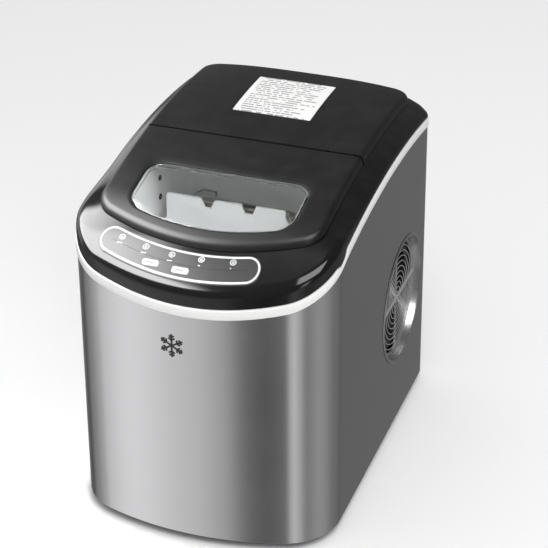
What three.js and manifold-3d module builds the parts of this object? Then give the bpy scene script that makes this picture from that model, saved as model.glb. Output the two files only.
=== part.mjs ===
// Countertop bullet-ice maker, built as the assembly that it is on the bench.
// Millimetres, +Z up, +X to the machine's right as seen from its front, -Y to the front.
// The origin is on the floor, below the middle of the machine.
import * as THREE from 'three';
import { mergeVertices } from 'three/addons/utils/BufferGeometryUtils.js';
import Module from 'manifold-3d';

const wasm = await Module();
wasm.setup();

// ---- Driving dimensions -------------------------------------------------------------------

const GAP = 0.3; // clearance between pieces that touch
const BASE_Z = 8; // underside of the cabinet: the feet are this tall
const SHEET = 0.8; // stainless wrap

// Plan outlines: a wide arc in front, corner arcs, straight sides and a straight rear.
const BODY = { halfWidth: 121, front: -170, rear: 170, frontRadius: 270, cornerRadius: 52, rearRadius: 14 };
const OPENING = { halfWidth: 99, front: -130, rear: 160, frontRadius: 230, cornerRadius: 20, rearRadius: 10 };
const STRAIGHT = 1e5; // front radius of an outline whose front is straight

// The crown is the height of the steel's top edge. It bows gently and dives towards the front.
const CROWN = { crest: 292, crestY: 50, bow: 7e-4, diveFrom: -90, dive: 2.95e-3 };

// Heights above the crown
const STRIP_TOP = 8.8;
const COVER_FOOT = 9.6;
const COVER_TOP = 25;
const PANEL_TOP = 32; // lid and rear deck
const DECK_CAMBER = 6; // how much the rear deck rises in its middle, at its rear end
const PLATE = 2.5; // moulded wall

// The cover's ledge falls away towards the sides, and more so from the front corners rearwards.
const LEDGE = { innerX: 99, outerX: 116, droop: 8, front: -125, full: -35 };

const HINGE_Y = 5;
const BARREL_RADIUS = 2.5;
const HINGE_Z = crown(HINGE_Y) + PANEL_TOP - BARREL_RADIUS - 0.1;
const PIN = { radius: 1.1, bore: 1.4, from: 85, to: 99.1 };
const LID = {
  halfWidth: 104,
  front: -135.5,
  rear: HINGE_Y + 5,
  frontRadius: 235,
  cornerRadius: 23,
  rearRadius: 1,
};
const DECK = {
  halfWidth: 104,
  front: HINGE_Y - 2,
  rear: 163,
  frontRadius: STRAIGHT,
  cornerRadius: 1,
  rearRadius: 16,
};
const WINDOW = { halfWidth: 76, front: -123, rear: -49, frontRadius: 207, cornerRadius: 22, rearRadius: 16 };

const TANK = { halfWidth: 82.5, front: -124, rear: 52, frontRadius: 236, cornerRadius: 20, rearRadius: 16 };
const TANK_FLOOR = 70;
const FOAM_RIM = 176;
const FOAM_WALL = 8;

const TAB = { from: -118, to: -94, drop: 4.2 }; // the cover's side tabs reach down over the strip

const VENT = { y: 84, z: 136, radius: 62, mouth: 52, floorX: 113 };
const PANEL = { middleRadius: 251.5, halfHeight: 12.2, from: -17.8, to: 11.2 };
const PANEL_FILM = 0.6;
const BUTTON = { width: 15.5, depth: 6.6, rise: 1.7, stem: 5 };
const BUTTON_PLACES = [[-36.5, -153.5], [-8.5, -155.7]];
const LAMP_PLACES = [[-69, -137], [-45, -142], [-20, -145], [7, -145], [35, -143]];

const BASKET = { floor: 128, rim: 212, wall: 2 };
const BASKET_SCOOP = { from: -68, fall: 1.25 }; // the rim falls rearwards, clear of the comb plate
const BASKET_PLAN = {
  halfWidth: 72,
  front: -116,
  rear: -36,
  frontRadius: 226,
  cornerRadius: 14,
  rearRadius: 12,
};
const TRAY = { y: 22, z: 205, radius: 24, wall: 2, from: -70, to: 44, axle: 3.5 };
const SHOVEL = { y: -28, z: 240, height: 34, from: -71, to: 43, shaft: 3, notch: 8 };
const EVAPORATOR = { z: 238, rows: [14, 30], tube: 4, finger: 4.5, tip: 192, pitch: 24 };
const SENSOR = { y: -22, heights: [266, 284], lens: 2.5 };
const TRAY_MOTOR = { radius: 19, from: 84.6, to: 104 };
const PUMP = { x: -60, y: 20, halfWidth: 16, halfDepth: 19, spout: 5, top: 106 };

const COMPRESSOR = { x: -48, y: 113, radius: 45, foot: 19.3, top: 140 };
const FAN = { radius: 44, hub: 11, back: 99, front: 108 };
const DRIER = { x: 24, y: 148 };
const SUCTION = { x: 60, radius: 3.5 };
const DISCHARGE = { y: 112, z: 46, radius: 3 };

const REAR_PANEL = { halfWidth: 105.6, near: 163.5, far: 166 };
const LOUVRE = { columns: [-52, 52], rows: 8, first: 96, pitch: 14, halfWidth: 38, height: 5 };
const GLAND = { x: 74, z: 50, radius: 9 };
const DRAIN = { x: -74, z: 44, radius: 7 };
const REAR_SCREWS = [[-98, 30], [98, 30], [-98, 262], [98, 262]];
const FOOT = { x: 88, frontY: -118, rearY: 140, radius: 12 };

// ---- Curves and solids --------------------------------------------------------------------

/** Height of the steel's top edge at depth y. */
function crown(y) {
  const dive = Math.max(0, CROWN.diveFrom - y);
  return CROWN.crest - CROWN.bow * (y - CROWN.crestY) ** 2 - CROWN.dive * dive ** 2;
}

/** Height function: a constant offset above the crown. */
const above = (offset) => (x, y) => crown(y) + offset;

/** Height function: above the crown, falling away beside the lid and deck. */
function ledge(offset) {
  return (x, y) => {
    const across = THREE.MathUtils.clamp((Math.abs(x) - LEDGE.innerX) / (LEDGE.outerX - LEDGE.innerX), 0, 1);
    const along = THREE.MathUtils.smoothstep(y, LEDGE.front, LEDGE.full);
    return crown(y) + offset - LEDGE.droop * across * along;
  };
}

/** Height function: one level. */
const level = (z) => () => z;

/** Height function of the lid and deck, offset from their top. The deck grows a camber rearwards. */
function panelTop(offset) {
  return (x, y) => {
    const across = 1 - Math.min(1, Math.abs(x) / DECK.halfWidth) ** 3;
    const along = THREE.MathUtils.clamp((y - 20) / (DECK.rear - 20), 0, 1);
    return crown(y) + PANEL_TOP + offset + DECK_CAMBER * across * along;
  };
}

/** Points of a plan outline, anticlockwise from the left end of the front arc. */
function outline(plan, inset = 0) {
  const bigY = plan.front + plan.frontRadius;
  const cornerX = plan.halfWidth - plan.cornerRadius;
  const cornerY = bigY - Math.sqrt((plan.frontRadius - plan.cornerRadius) ** 2 - cornerX ** 2);
  const sweep = Math.atan2(cornerX, bigY - cornerY);
  const down = -Math.PI / 2;
  const side = plan.halfWidth - inset;
  const back = plan.rear - inset;
  const rearX = plan.halfWidth - plan.rearRadius;
  const rearY = plan.rear - plan.rearRadius;
  const corner = Math.max(plan.cornerRadius - inset, 0.2);
  const rearCorner = Math.max(plan.rearRadius - inset, 0.2);
  const arc = (x, y, r, from, to) => new THREE.EllipseCurve(x, y, r, r, from, to, false);
  const line = (x0, y0, x1, y1) => new THREE.LineCurve(new THREE.Vector2(x0, y0), new THREE.Vector2(x1, y1));
  const curves = [
    [arc(0, bigY, plan.frontRadius - inset, down - sweep, down + sweep), 9],
    [arc(cornerX, cornerY, corner, down + sweep, 0), 4],
    [line(side, cornerY, side, rearY), 6],
    [arc(rearX, rearY, rearCorner, 0, Math.PI / 2), 2],
    [line(rearX, back, -rearX, back), 4],
    [arc(-rearX, rearY, rearCorner, Math.PI / 2, Math.PI), 2],
    [line(-side, rearY, -side, cornerY), 6],
    [arc(-cornerX, cornerY, corner, Math.PI, 1.5 * Math.PI - sweep), 4],
  ];
  return curves.flatMap(([curve, steps]) => curve.getPoints(steps).slice(0, -1));
}

/** A loop of 3D points: an outline lifted to a height function. */
function loop(plan, inset, height) {
  return outline(plan, inset).map((p) => new THREE.Vector3(p.x, p.y, height(p.x, p.y)));
}

/** A loop part of the way from one outline to another. */
function between(planA, insetA, planB, insetB, share, height) {
  const target = outline(planB, insetB);
  return outline(planA, insetA).map((p, i) => {
    const q = p.lerp(target[i], share);
    return new THREE.Vector3(q.x, q.y, height(q.x, q.y));
  });
}

/** A loop shrunk towards the outline's middle: share 1 is the outline, 0 its middle point. */
function shrunk(plan, inset, share, height) {
  const middle = new THREE.Vector2(0, (plan.front + plan.rear) / 2);
  return outline(plan, inset).map((p) => {
    const q = middle.clone().lerp(p, share);
    return new THREE.Vector3(q.x, q.y, height(q.x, q.y));
  });
}

/** Closed surface over a list of loops, the last one joined to the first. */
function skin(loops) {
  const columns = loops[0].length;
  const index = [];
  loops.forEach((unused, row) => {
    const next = (row + 1) % loops.length;
    for (let column = 0; column < columns; column += 1) {
      const right = (column + 1) % columns;
      const [a, b] = [row * columns + column, row * columns + right];
      const [c, d] = [next * columns + right, next * columns + column];
      index.push(a, b, c, a, c, d);
    }
  });
  const geometry = new THREE.BufferGeometry().setFromPoints(loops.flat());
  geometry.setIndex(index);
  return solid(geometry);
}

/** Manifold solid of a closed geometry, whichever way its faces point. */
function solid(geometry) {
  const bare = geometry.clone();
  bare.deleteAttribute('normal');
  bare.deleteAttribute('uv');
  const merged = mergeVertices(bare, 1e-4);
  const points = merged.getAttribute('position');
  const corners = merged.getIndex().array;
  const kept = [];
  let volume = 0;
  const [p, q, r] = [new THREE.Vector3(), new THREE.Vector3(), new THREE.Vector3()];
  for (let i = 0; i < corners.length; i += 3) {
    const [a, b, c] = [corners[i], corners[i + 1], corners[i + 2]];
    if (a !== b && b !== c && c !== a) {
      kept.push([a, b, c]);
      p.fromBufferAttribute(points, a);
      q.fromBufferAttribute(points, b);
      r.fromBufferAttribute(points, c);
      volume += p.dot(q.cross(r));
    }
  }
  const triangles = volume > 0 ? kept : kept.map(([a, b, c]) => [a, c, b]);
  return new wasm.Manifold(new wasm.Mesh({
    numProp: 3,
    vertProperties: Float32Array.from(points.array),
    triVerts: Uint32Array.from(triangles.flat()),
  }));
}

/** Geometry of a manifold solid. */
function geometryOf(body) {
  const { vertProperties, triVerts } = body.getMesh();
  const geometry = new THREE.BufferGeometry();
  geometry.setAttribute('position', new THREE.BufferAttribute(Float32Array.from(vertProperties), 3));
  geometry.setIndex(new THREE.BufferAttribute(Uint32Array.from(triVerts), 1));
  geometry.computeVertexNormals();
  return geometry;
}

/** Union of several solids. */
const join = (...bodies) => bodies.reduce((sum, body) => sum.add(body));

/** One solid with others cut away. */
const cut = (body, ...tools) => tools.reduce((rest, tool) => rest.subtract(tool), body);

/** Block between two corners given in either order along X. */
function block(x0, x1, y0, y1, z0, z1) {
  const geometry = new THREE.BoxGeometry(Math.abs(x1 - x0), y1 - y0, z1 - z0);
  return solid(geometry.translate((x0 + x1) / 2, (y0 + y1) / 2, (z0 + z1) / 2));
}

/** Slab across the whole machine between two height functions. */
function slab(low, high, columns = 1, rows = 24) {
  const geometry = new THREE.BoxGeometry(260, 372, 1, columns, rows, 1);
  const points = geometry.getAttribute('position');
  for (let i = 0; i < points.count; i += 1) {
    const height = points.getZ(i) > 0 ? high : low;
    points.setZ(i, height(points.getX(i), points.getY(i)));
  }
  return solid(geometry);
}

/** Upright prism of a shape. */
function prism(shape, z0, z1, curveSegments = 8) {
  const geometry = new THREE.ExtrudeGeometry(shape, { depth: z1 - z0, bevelEnabled: false, curveSegments });
  return solid(geometry.translate(0, 0, z0));
}

/** Rounded rectangle about a point. */
function roundedRect(x, y, width, depth, radius) {
  const shape = new THREE.Shape();
  const [right, top] = [width / 2 - radius, depth / 2 - radius];
  shape.absarc(x + right, y + top, radius, 0, Math.PI / 2, false);
  shape.absarc(x - right, y + top, radius, Math.PI / 2, Math.PI, false);
  shape.absarc(x - right, y - top, radius, Math.PI, 1.5 * Math.PI, false);
  shape.absarc(x + right, y - top, radius, 1.5 * Math.PI, 2 * Math.PI, false);
  shape.closePath();
  return shape;
}

/** Body of revolution about +Z, from [radius, height] pairs, moved to a place. */
function turned(profile, x = 0, y = 0, z = 0, segments = 24) {
  const points = profile.map(([radius, height]) => new THREE.Vector2(radius, height));
  const geometry = new THREE.LatheGeometry(points, segments).rotateX(Math.PI / 2);
  return solid(geometry.translate(x, y, z));
}

/** Body of revolution about +X, from [radius, x] pairs, about the line through y and z. */
function turnedAcross(profile, y, z, segments = 20) {
  const points = profile.map(([radius, x]) => new THREE.Vector2(radius, x));
  const geometry = new THREE.LatheGeometry(points, segments).rotateZ(-Math.PI / 2);
  return solid(geometry.translate(0, y, z));
}

/** Body of revolution about +Y, from [radius, y] pairs, about the line through x and z. */
function turnedAlong(profile, x, z, segments = 14) {
  const points = profile.map(([radius, y]) => new THREE.Vector2(radius, y));
  return solid(new THREE.LatheGeometry(points, segments).translate(x, 0, z));
}

/** Round bar along X. */
function barAcross(radius, x0, x1, y, z, segments = 16) {
  return turnedAcross([[0, x0], [radius, x0], [radius, x1], [0, x1]], y, z, segments);
}

/** Upright round bar. */
function post(radius, x, y, z0, z1, segments = 16) {
  return turned([[0, z0], [radius, z0], [radius, z1], [0, z1]], x, y, 0, segments);
}

/** Round tube along a smooth route. */
function tubing(radius, route, steps, sides = 6) {
  const path = new THREE.CatmullRomCurve3(route.map((p) => new THREE.Vector3(...p)), false, 'centripetal');
  const section = new THREE.Shape();
  section.absarc(0, 0, radius, 0, 2 * Math.PI, false);
  return solid(new THREE.ExtrudeGeometry(section, { steps, extrudePath: path, curveSegments: sides / 2 }));
}

// ---- Finishes -----------------------------------------------------------------------------

/** Plain finish of a piece. */
function finish(color, roughness, metalness = 0) {
  return new THREE.MeshStandardMaterial({ color, roughness, metalness });
}

const STEEL = finish(0x9a9b9c, 0.35, 1);
const BLACK_GLOSS = finish(0x151515, 0.18);
const BLACK_MATT = finish(0x1b1b1c, 0.6);
const WHITE = finish(0xe9e9e7, 0.45);
const CLEAR = finish(0xe4e8ea, 0.05);
const SILVER_FILM = finish(0x8d8e8f, 0.4, 0.3);
const RUBBER = finish(0x202020, 0.9);
const FOAM = finish(0xe8dfc4, 0.95);
const GREEN_BOARD = finish(0x1f5a35, 0.5);
const COPPER = finish(0xb56a3c, 0.35, 1);
const ALUMINIUM = finish(0xb9bbbd, 0.4, 1);
const DARK_METAL = finish(0x2a2b2c, 0.5, 0.6);
const PAPER = finish(0xf4f4f2, 0.7);
const LAMP = finish(0xd6e2d6, 0.3);

const iceMaker = new THREE.Group();
iceMaker.name = 'ice_maker';

/** Adds one named piece to the machine or to a placed group of it. */
function piece(name, body, material, parent = iceMaker) {
  const mesh = new THREE.Mesh(geometryOf(body), material);
  mesh.name = name;
  parent.add(mesh);
}

// ---- Cabinet ------------------------------------------------------------------------------

/** Stainless sheet around the front and sides, with the vent's hole in the right side. */
function housingWrap() {
  const sheet = skin([
    loop(BODY, 0, level(BASE_Z)),
    loop(BODY, 0, above(0)),
    loop(BODY, SHEET, above(0)),
    loop(BODY, SHEET, level(BASE_Z)),
  ]);
  const rearOpening = block(-106, 106, 150, 180, 0, 400);
  const ventHole = barAcross(VENT.radius - 1, 100, 140, VENT.y, VENT.z, 30);
  return cut(sheet, rearOpening, ventHole);
}

/** Moulded floor pan with a rim that the wrap is screwed to. */
function basePan() {
  const [floor, top] = [BASE_Z + 0.2, BASE_Z + PLATE + 0.2];
  const rim = BASE_Z + 18;
  const inset = SHEET + GAP;
  return skin([
    loop(BODY, inset, level(floor)),
    loop(BODY, inset, level(rim)),
    loop(BODY, inset + 2, level(rim)),
    loop(BODY, inset + 2, level(top)),
    shrunk(BODY, inset + 2, 0, level(top)),
    shrunk(BODY, inset + 2, 0, level(floor)),
  ]);
}

/** Black rear panel with intake louvres and holes for the cord gland and the drain. */
function rearPanel() {
  const { halfWidth, near, far } = REAR_PANEL;
  const plate = block(-halfWidth, halfWidth, near, far, BASE_Z + PLATE + 0.5, crown(far) - 1);
  const [inside, outside] = [near - 5, far + 5];
  const louvres = LOUVRE.columns.flatMap((x) => Array.from({ length: LOUVRE.rows }, (unused, row) => {
    const z = LOUVRE.first + row * LOUVRE.pitch;
    return block(x - LOUVRE.halfWidth, x + LOUVRE.halfWidth, inside, outside, z, z + LOUVRE.height);
  }));
  const holes = [GLAND, DRAIN].map(({ x, z, radius }) => {
    const open = radius + GAP;
    return turnedAlong([[0, inside], [open, inside], [open, outside], [0, outside]], x, z);
  });
  return cut(plate, ...louvres, ...holes);
}

/** White band that frames the top of the steel. It is half as tall under the cover's tabs. */
function trimStrip() {
  const band = skin([
    loop(BODY, -1.2, above(GAP)),
    loop(BODY, -1.2, above(STRIP_TOP)),
    loop(BODY, 2.2, above(STRIP_TOP)),
    loop(BODY, 2.2, above(GAP)),
  ]);
  return cut(band, tabZone(0).intersect(slab(above(TAB.drop), above(30))));
}

/** Side zones of the cover's tabs, shrunk by a gap at each end. */
function tabZone(gap) {
  const side = (x) => block(x - 15, x + 15, TAB.from + gap, TAB.to - gap, 200, 400);
  return join(side(BODY.halfWidth), side(-BODY.halfWidth));
}

/** Glossy frame of the top: wall, rounded shoulder and the ledge around the opening. */
function topCover() {
  const frame = skin([
    loop(BODY, 0, above(COVER_FOOT)),
    loop(BODY, 0, ledge(18)),
    loop(BODY, 1.9, ledge(22.8)),
    loop(BODY, 6.5, ledge(COVER_TOP)),
    between(BODY, 6.5, OPENING, 0, 0.5, ledge(COVER_TOP)),
    loop(OPENING, 0, ledge(COVER_TOP)),
    loop(OPENING, 0, ledge(COVER_TOP - PLATE)),
    between(BODY, 6.5, OPENING, 0, 0.5, ledge(COVER_TOP - PLATE)),
    loop(BODY, 6.5, ledge(COVER_TOP - PLATE)),
    loop(BODY, 3.6, ledge(20.6)),
    loop(BODY, PLATE, ledge(17.8)),
    loop(BODY, PLATE, above(COVER_FOOT)),
  ]);
  const tabs = skin([
    loop(BODY, 0, above(0)),
    loop(BODY, 0, above(COVER_FOOT + 1)),
    loop(BODY, 2, above(COVER_FOOT + 1)),
    loop(BODY, 2, above(0)),
  ]).intersect(tabZone(GAP)).intersect(slab(above(TAB.drop + GAP), above(30)));
  const ears = [-1, 1].map((side) => hingeEar(side));
  const buttonHoles = BUTTON_PLACES.map(([x, y]) => onPanel(buttonTool(0.4), x, y));
  const lampHoles = LAMP_PLACES.map(([x, y]) => onPanel(post(2.1, 0, 0, -8, 8, 8), x, y));
  return cut(join(frame, tabs, ...ears), ...buttonHoles, ...lampHoles);
}

/** Ear inside the opening's edge that carries one hinge pin. */
function hingeEar(side) {
  const [near, far] = [96.3 * side, 99.4 * side];
  const foot = crown(HINGE_Y) + COVER_TOP - PLATE + 0.1;
  const lug = block(near, far, HINGE_Y - 2.2, HINGE_Y + 2.4, foot, HINGE_Z + 1.9);
  return cut(lug, barAcross(PIN.bore, -110, 110, HINGE_Y, HINGE_Z, 12));
}

/** Rear deck: fixed raised panel behind the lid. */
function rearDeck() {
  const top = panelTop(0);
  const under = panelTop(-PLATE);
  const shares = [0.75, 0.45, 0.15, 0];
  const shell = skin([
    loop(DECK, 0, ledge(COVER_TOP + 0.8)),
    loop(DECK, 0.8, above(28.5)),
    loop(DECK, 5, top),
    ...shares.map((share) => shrunk(DECK, 5, share, top)),
    ...shares.toReversed().map((share) => shrunk(DECK, 5, share, under)),
    loop(DECK, 5.6, under),
    loop(DECK, 3, ledge(COVER_TOP + 0.8)),
  ]);
  return cut(shell, block(-130, 130, -20, HINGE_Y + 3.1, 200, 400));
}

/** Hinged lid: raised frame around the window, with the hinge barrel at its rear edge. */
function lidFrame() {
  const top = panelTop(0);
  const under = panelTop(-PLATE);
  const shell = skin([
    loop(LID, 0, ledge(COVER_TOP + 0.4)),
    loop(LID, 0.8, above(28.5)),
    loop(LID, 5, top),
    between(LID, 5, WINDOW, 0, 0.5, top),
    loop(WINDOW, 0, top),
    loop(WINDOW, 0, under),
    between(LID, 5, WINDOW, 0, 0.5, under),
    loop(LID, 5.6, under),
    loop(LID, 3, ledge(COVER_TOP + 0.4)),
  ]);
  const trimmed = cut(shell, block(-130, 130, HINGE_Y, 60, 200, 400));
  const barrel = barAcross(BARREL_RADIUS, -95.9, 95.9, HINGE_Y, HINGE_Z, 16);
  const end = PIN.from - 1;
  const bores = [
    barAcross(PIN.bore, -110, -end, HINGE_Y, HINGE_Z, 12),
    barAcross(PIN.bore, end, 110, HINGE_Y, HINGE_Z, 12),
  ];
  const notch = (x) => block(x - 1.8, x + 1.8, HINGE_Y - 3.4, HINGE_Y + 5, 290, 340);
  return cut(join(trimmed, barrel), ...bores, notch(97.8), notch(-97.8));
}

/** Clear lid window: a raised pane with a flange under the lid. */
function lidWindow() {
  const under = panelTop(-PLATE - 1.4);
  return skin([
    loop(WINDOW, -4, panelTop(-PLATE - 2.6)),
    loop(WINDOW, -4, panelTop(-PLATE - GAP)),
    loop(WINDOW, 0.4, panelTop(-PLATE - GAP)),
    loop(WINDOW, 0.4, panelTop(-0.8)),
    shrunk(WINDOW, 0.4, 0.5, panelTop(-0.8)),
    shrunk(WINDOW, 0.4, 0, panelTop(-0.8)),
    shrunk(WINDOW, 2.5, 0, under),
    shrunk(WINDOW, 2.5, 0.5, under),
    loop(WINDOW, 2.5, under),
    loop(WINDOW, 2.5, panelTop(-PLATE - 2.6)),
  ]);
}

piece('housing_wrap', housingWrap(), STEEL);
piece('base_pan', basePan(), BLACK_MATT);
piece('rear_panel', rearPanel(), BLACK_MATT);
piece('trim_strip', trimStrip(), WHITE);
piece('top_cover', topCover(), BLACK_GLOSS);
piece('rear_deck', rearDeck(), BLACK_GLOSS);
piece('lid_frame', lidFrame(), BLACK_GLOSS);
piece('lid_window', lidWindow(), CLEAR);
piece('hinge_pin_left', barAcross(PIN.radius, -PIN.to, -PIN.from, HINGE_Y, HINGE_Z, 12), STEEL);
piece('hinge_pin_right', barAcross(PIN.radius, PIN.from, PIN.to, HINGE_Y, HINGE_Z, 12), STEEL);

for (const [row, y] of [['front', FOOT.frontY], ['rear', FOOT.rearY]]) {
  for (const [side, x] of [['left', -FOOT.x], ['right', FOOT.x]]) {
    const { radius } = FOOT;
    const profile = [[0, 0], [radius - 2, 0], [radius, 2], [radius, BASE_Z - 0.1], [0, BASE_Z - 0.1]];
    piece(`foot_${row}_${side}`, turned(profile, x, y, 0, 16), RUBBER);
  }
}

// ---- Side vent ----------------------------------------------------------------------------

/** Dished steel ring that sinks from the side wall to the grille. */
function ventDish() {
  return turnedAcross([
    [63.5, 121.3],
    [63.5, 121.9],
    [60.4, 121.9],
    [VENT.mouth, VENT.floorX],
    [49, VENT.floorX],
    [49, VENT.floorX - 1],
    [52.4, VENT.floorX - 1],
    [59.7, 120],
    [59.7, 121.3],
    [63.5, 121.3],
  ], VENT.y, VENT.z, 30);
}

/** Round wire-like grille: rings on a cross. */
function ventGrille() {
  const [back, front] = [VENT.floorX + GAP, VENT.floorX + 2];
  const ring = (inner, outer) => turnedAcross(
    [[inner, back], [outer, back], [outer, front], [inner, front], [inner, back]], VENT.y, VENT.z, 24);
  const rings = [9, 19, 29, 39].map((inner) => ring(inner, inner + 2));
  const rim = ring(49, 51.6);
  const span = 50;
  const upright = block(back, front, VENT.y - 1.5, VENT.y + 1.5, VENT.z - span, VENT.z + span);
  const level0 = block(back, front, VENT.y - span, VENT.y + span, VENT.z - 2.5, VENT.z + 2.5);
  return join(upright, level0, rim, ...rings);
}

piece('vent_dish', ventDish(), STEEL);
piece('vent_grille', ventGrille(), BLACK_MATT);

// ---- Control panel ------------------------------------------------------------------------

/** Moves a solid made about the origin onto the front slope, its +Z along the slope's normal. */
function onPanel(body, x, y) {
  const geometry = geometryOf(body).applyMatrix4(panelMatrix(x, y));
  return solid(geometry);
}

/** Placement on the front slope: origin on the cover's surface, tilted with it. */
function panelMatrix(x, y) {
  const tilt = Math.atan(crown(y + 0.5) - crown(y - 0.5));
  const matrix = new THREE.Matrix4().makeRotationX(tilt);
  return matrix.setPosition(x, y, crown(y) + COVER_TOP);
}

/** Upright block of a button's outline, grown by a clearance. */
function buttonTool(clearance) {
  const [width, depth] = [BUTTON.width + 2 * clearance, BUTTON.depth + 2 * clearance];
  return prism(roundedRect(0, 0, width, depth, 2), -8, 8, 1);
}

/** Kidney outline of the control panel: two arcs about the front arc's centre, with round ends. */
function panelShape(inset = 0) {
  const bigY = BODY.front + BODY.frontRadius;
  const down = -Math.PI / 2;
  const [from, to] = [THREE.MathUtils.degToRad(PANEL.from), THREE.MathUtils.degToRad(PANEL.to)];
  const half = PANEL.halfHeight - inset;
  const end = (angle) => [PANEL.middleRadius * Math.sin(angle), bigY - PANEL.middleRadius * Math.cos(angle)];
  const shape = new THREE.Shape();
  shape.absarc(0, bigY, PANEL.middleRadius + half, down + from, down + to, false);
  shape.absarc(...end(to), half, down + to, -down + to, false);
  shape.absarc(0, bigY, PANEL.middleRadius - half, down + to, down + from, true);
  shape.absarc(...end(from), half, -down + from, 3 * -down + from, false);
  return shape;
}

/** Printed film over the slope, open for the buttons and lamps. */
function controlFilm() {
  const film = prism(panelShape(), 200, 340, 6)
    .intersect(slab(above(COVER_TOP + GAP), above(COVER_TOP + GAP + PANEL_FILM)));
  const buttonHoles = BUTTON_PLACES.map(([x, y]) => onPanel(buttonTool(0.4), x, y));
  const lampHoles = LAMP_PLACES.map(([x, y]) => onPanel(post(2.1, 0, 0, -8, 8, 8), x, y));
  return cut(film, ...buttonHoles, ...lampHoles);
}

/** Flat circuit board below the slope. */
function controlBoard() {
  const middle = -150;
  const tilt = crown(middle + 0.5) - crown(middle - 0.5);
  const plane = (offset) => (x, y) => crown(middle) + offset + tilt * (y - middle);
  return prism(panelShape(2), 200, 340, 5).intersect(slab(plane(14), plane(15.6), 1, 1));
}

piece('control_film', controlFilm(), SILVER_FILM);
piece('control_board', controlBoard(), GREEN_BOARD);
for (const [i, name] of ['power_button', 'select_button'].entries()) {
  const cap = prism(roundedRect(0, 0, BUTTON.width, BUTTON.depth, 1.8), -BUTTON.stem, BUTTON.rise, 2);
  piece(name, onPanel(cap, ...BUTTON_PLACES[i]), WHITE);
}
for (const [i, [x, y]] of LAMP_PLACES.entries()) {
  piece(`indicator_lamp_${i + 1}`, onPanel(post(1.8, 0, 0, -4, 1.1, 8), x, y), LAMP);
}

// ---- Label and front mark -----------------------------------------------------------------

/** Paper label on the rear deck. */
function deckLabel() {
  const sheet = prism(roundedRect(0.5, 92.5, 75, 77, 1), 200, 400, 2);
  return sheet.intersect(slab(panelTop(GAP), panelTop(2 * GAP), 16, 24));
}

/** Six-armed snowflake mark that follows the front's curve. */
function frontMark() {
  const [x, z] = [-13, 207];
  const arms = [0, 60, 120].map((degrees) => {
    const bar = new THREE.BoxGeometry(24, 20, 1.8).rotateY(THREE.MathUtils.degToRad(degrees + 30));
    return solid(bar.translate(x, -166, z));
  });
  const skinOfFront = skin([
    loop(BODY, -0.7, level(180)),
    loop(BODY, -0.7, level(230)),
    loop(BODY, -0.2, level(230)),
    loop(BODY, -0.2, level(180)),
  ]);
  return join(...arms).intersect(skinOfFront);
}

piece('deck_label', deckLabel(), PAPER);
piece('front_mark', frontMark(), BLACK_MATT);

// ---- Tank and ice works -------------------------------------------------------------------

/** White tank: water reservoir below, ice space above, with a flange under the top cover. */
function innerTank() {
  const shell = skin([
    loop(TANK, 0, level(TANK_FLOOR)),
    loop(TANK, 0, above(19.6)),
    loop(TANK, -8, above(19.6)),
    loop(TANK, -8, above(COVER_TOP - PLATE - GAP)),
    loop(TANK, PLATE, above(COVER_TOP - PLATE - GAP)),
    loop(TANK, PLATE, level(TANK_FLOOR + 3)),
    shrunk(TANK, PLATE, 0, level(TANK_FLOOR + 3)),
    shrunk(TANK, PLATE, 0, level(TANK_FLOOR)),
  ]);
  const wallX = TANK.halfWidth - PLATE;
  const rail = (side) => {
    const [inner, outer] = [(BASKET_PLAN.halfWidth - 4) * side, (wallX + 0.5) * side];
    return block(inner, outer, -104, -40, BASKET.floor - 6, BASKET.floor - GAP);
  };
  const axleHole = (radius, y, z) => barAcross(radius, -100, 100, y, z, 12);
  const sensorHoles = SENSOR.heights.map((z) => axleHole(SENSOR.lens + GAP, SENSOR.y, z));
  const tubeHole = turnedAlong([[0, 40], [5, 40], [5, 60], [0, 60]], SUCTION.x, EVAPORATOR.z, 12);
  const holes = [axleHole(TRAY.axle + 0.4, TRAY.y, TRAY.z), axleHole(SHOVEL.shaft + 0.4, SHOVEL.y, SHOVEL.z)];
  return cut(join(shell, rail(1), rail(-1)), ...holes, ...sensorHoles, tubeHole);
}

/** Foam jacket around the tank's lower half. */
function tankFoam() {
  const inset = -FOAM_WALL;
  return skin([
    loop(TANK, inset, level(TANK_FLOOR - FOAM_WALL)),
    loop(TANK, inset, level(FOAM_RIM)),
    loop(TANK, -1, level(FOAM_RIM)),
    loop(TANK, -1, level(TANK_FLOOR - GAP)),
    shrunk(TANK, -1, 0, level(TANK_FLOOR - GAP)),
    shrunk(TANK, -1, 0, level(TANK_FLOOR - FOAM_WALL)),
  ]);
}

/** Lift-out ice basket with drain slots and two finger tabs. */
function iceBasket() {
  const { floor, rim, wall } = BASKET;
  const { halfWidth, front, rear } = BASKET_PLAN;
  const edge = (x, y) => rim - BASKET_SCOOP.fall * Math.max(0, y - BASKET_SCOOP.from);
  const shell = skin([
    loop(BASKET_PLAN, 0, level(floor)),
    loop(BASKET_PLAN, 0, edge),
    loop(BASKET_PLAN, wall, edge),
    loop(BASKET_PLAN, wall, level(floor + wall)),
    shrunk(BASKET_PLAN, wall, 0, level(floor + wall)),
    shrunk(BASKET_PLAN, wall, 0, level(floor)),
  ]);
  const slots = Array.from({ length: 9 }, (unused, i) => {
    const x = (i - 4) * 14;
    return block(x - 2, x + 2, front + 16, rear - 14, floor - 5, floor + 5);
  });
  const finger = (side) => {
    const [inner, outer] = [(halfWidth - 1) * side, (halfWidth + 4) * side];
    return block(inner, outer, -94, -70, rim - 4, rim);
  };
  return cut(join(shell, finger(1), finger(-1)), ...slots);
}

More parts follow.
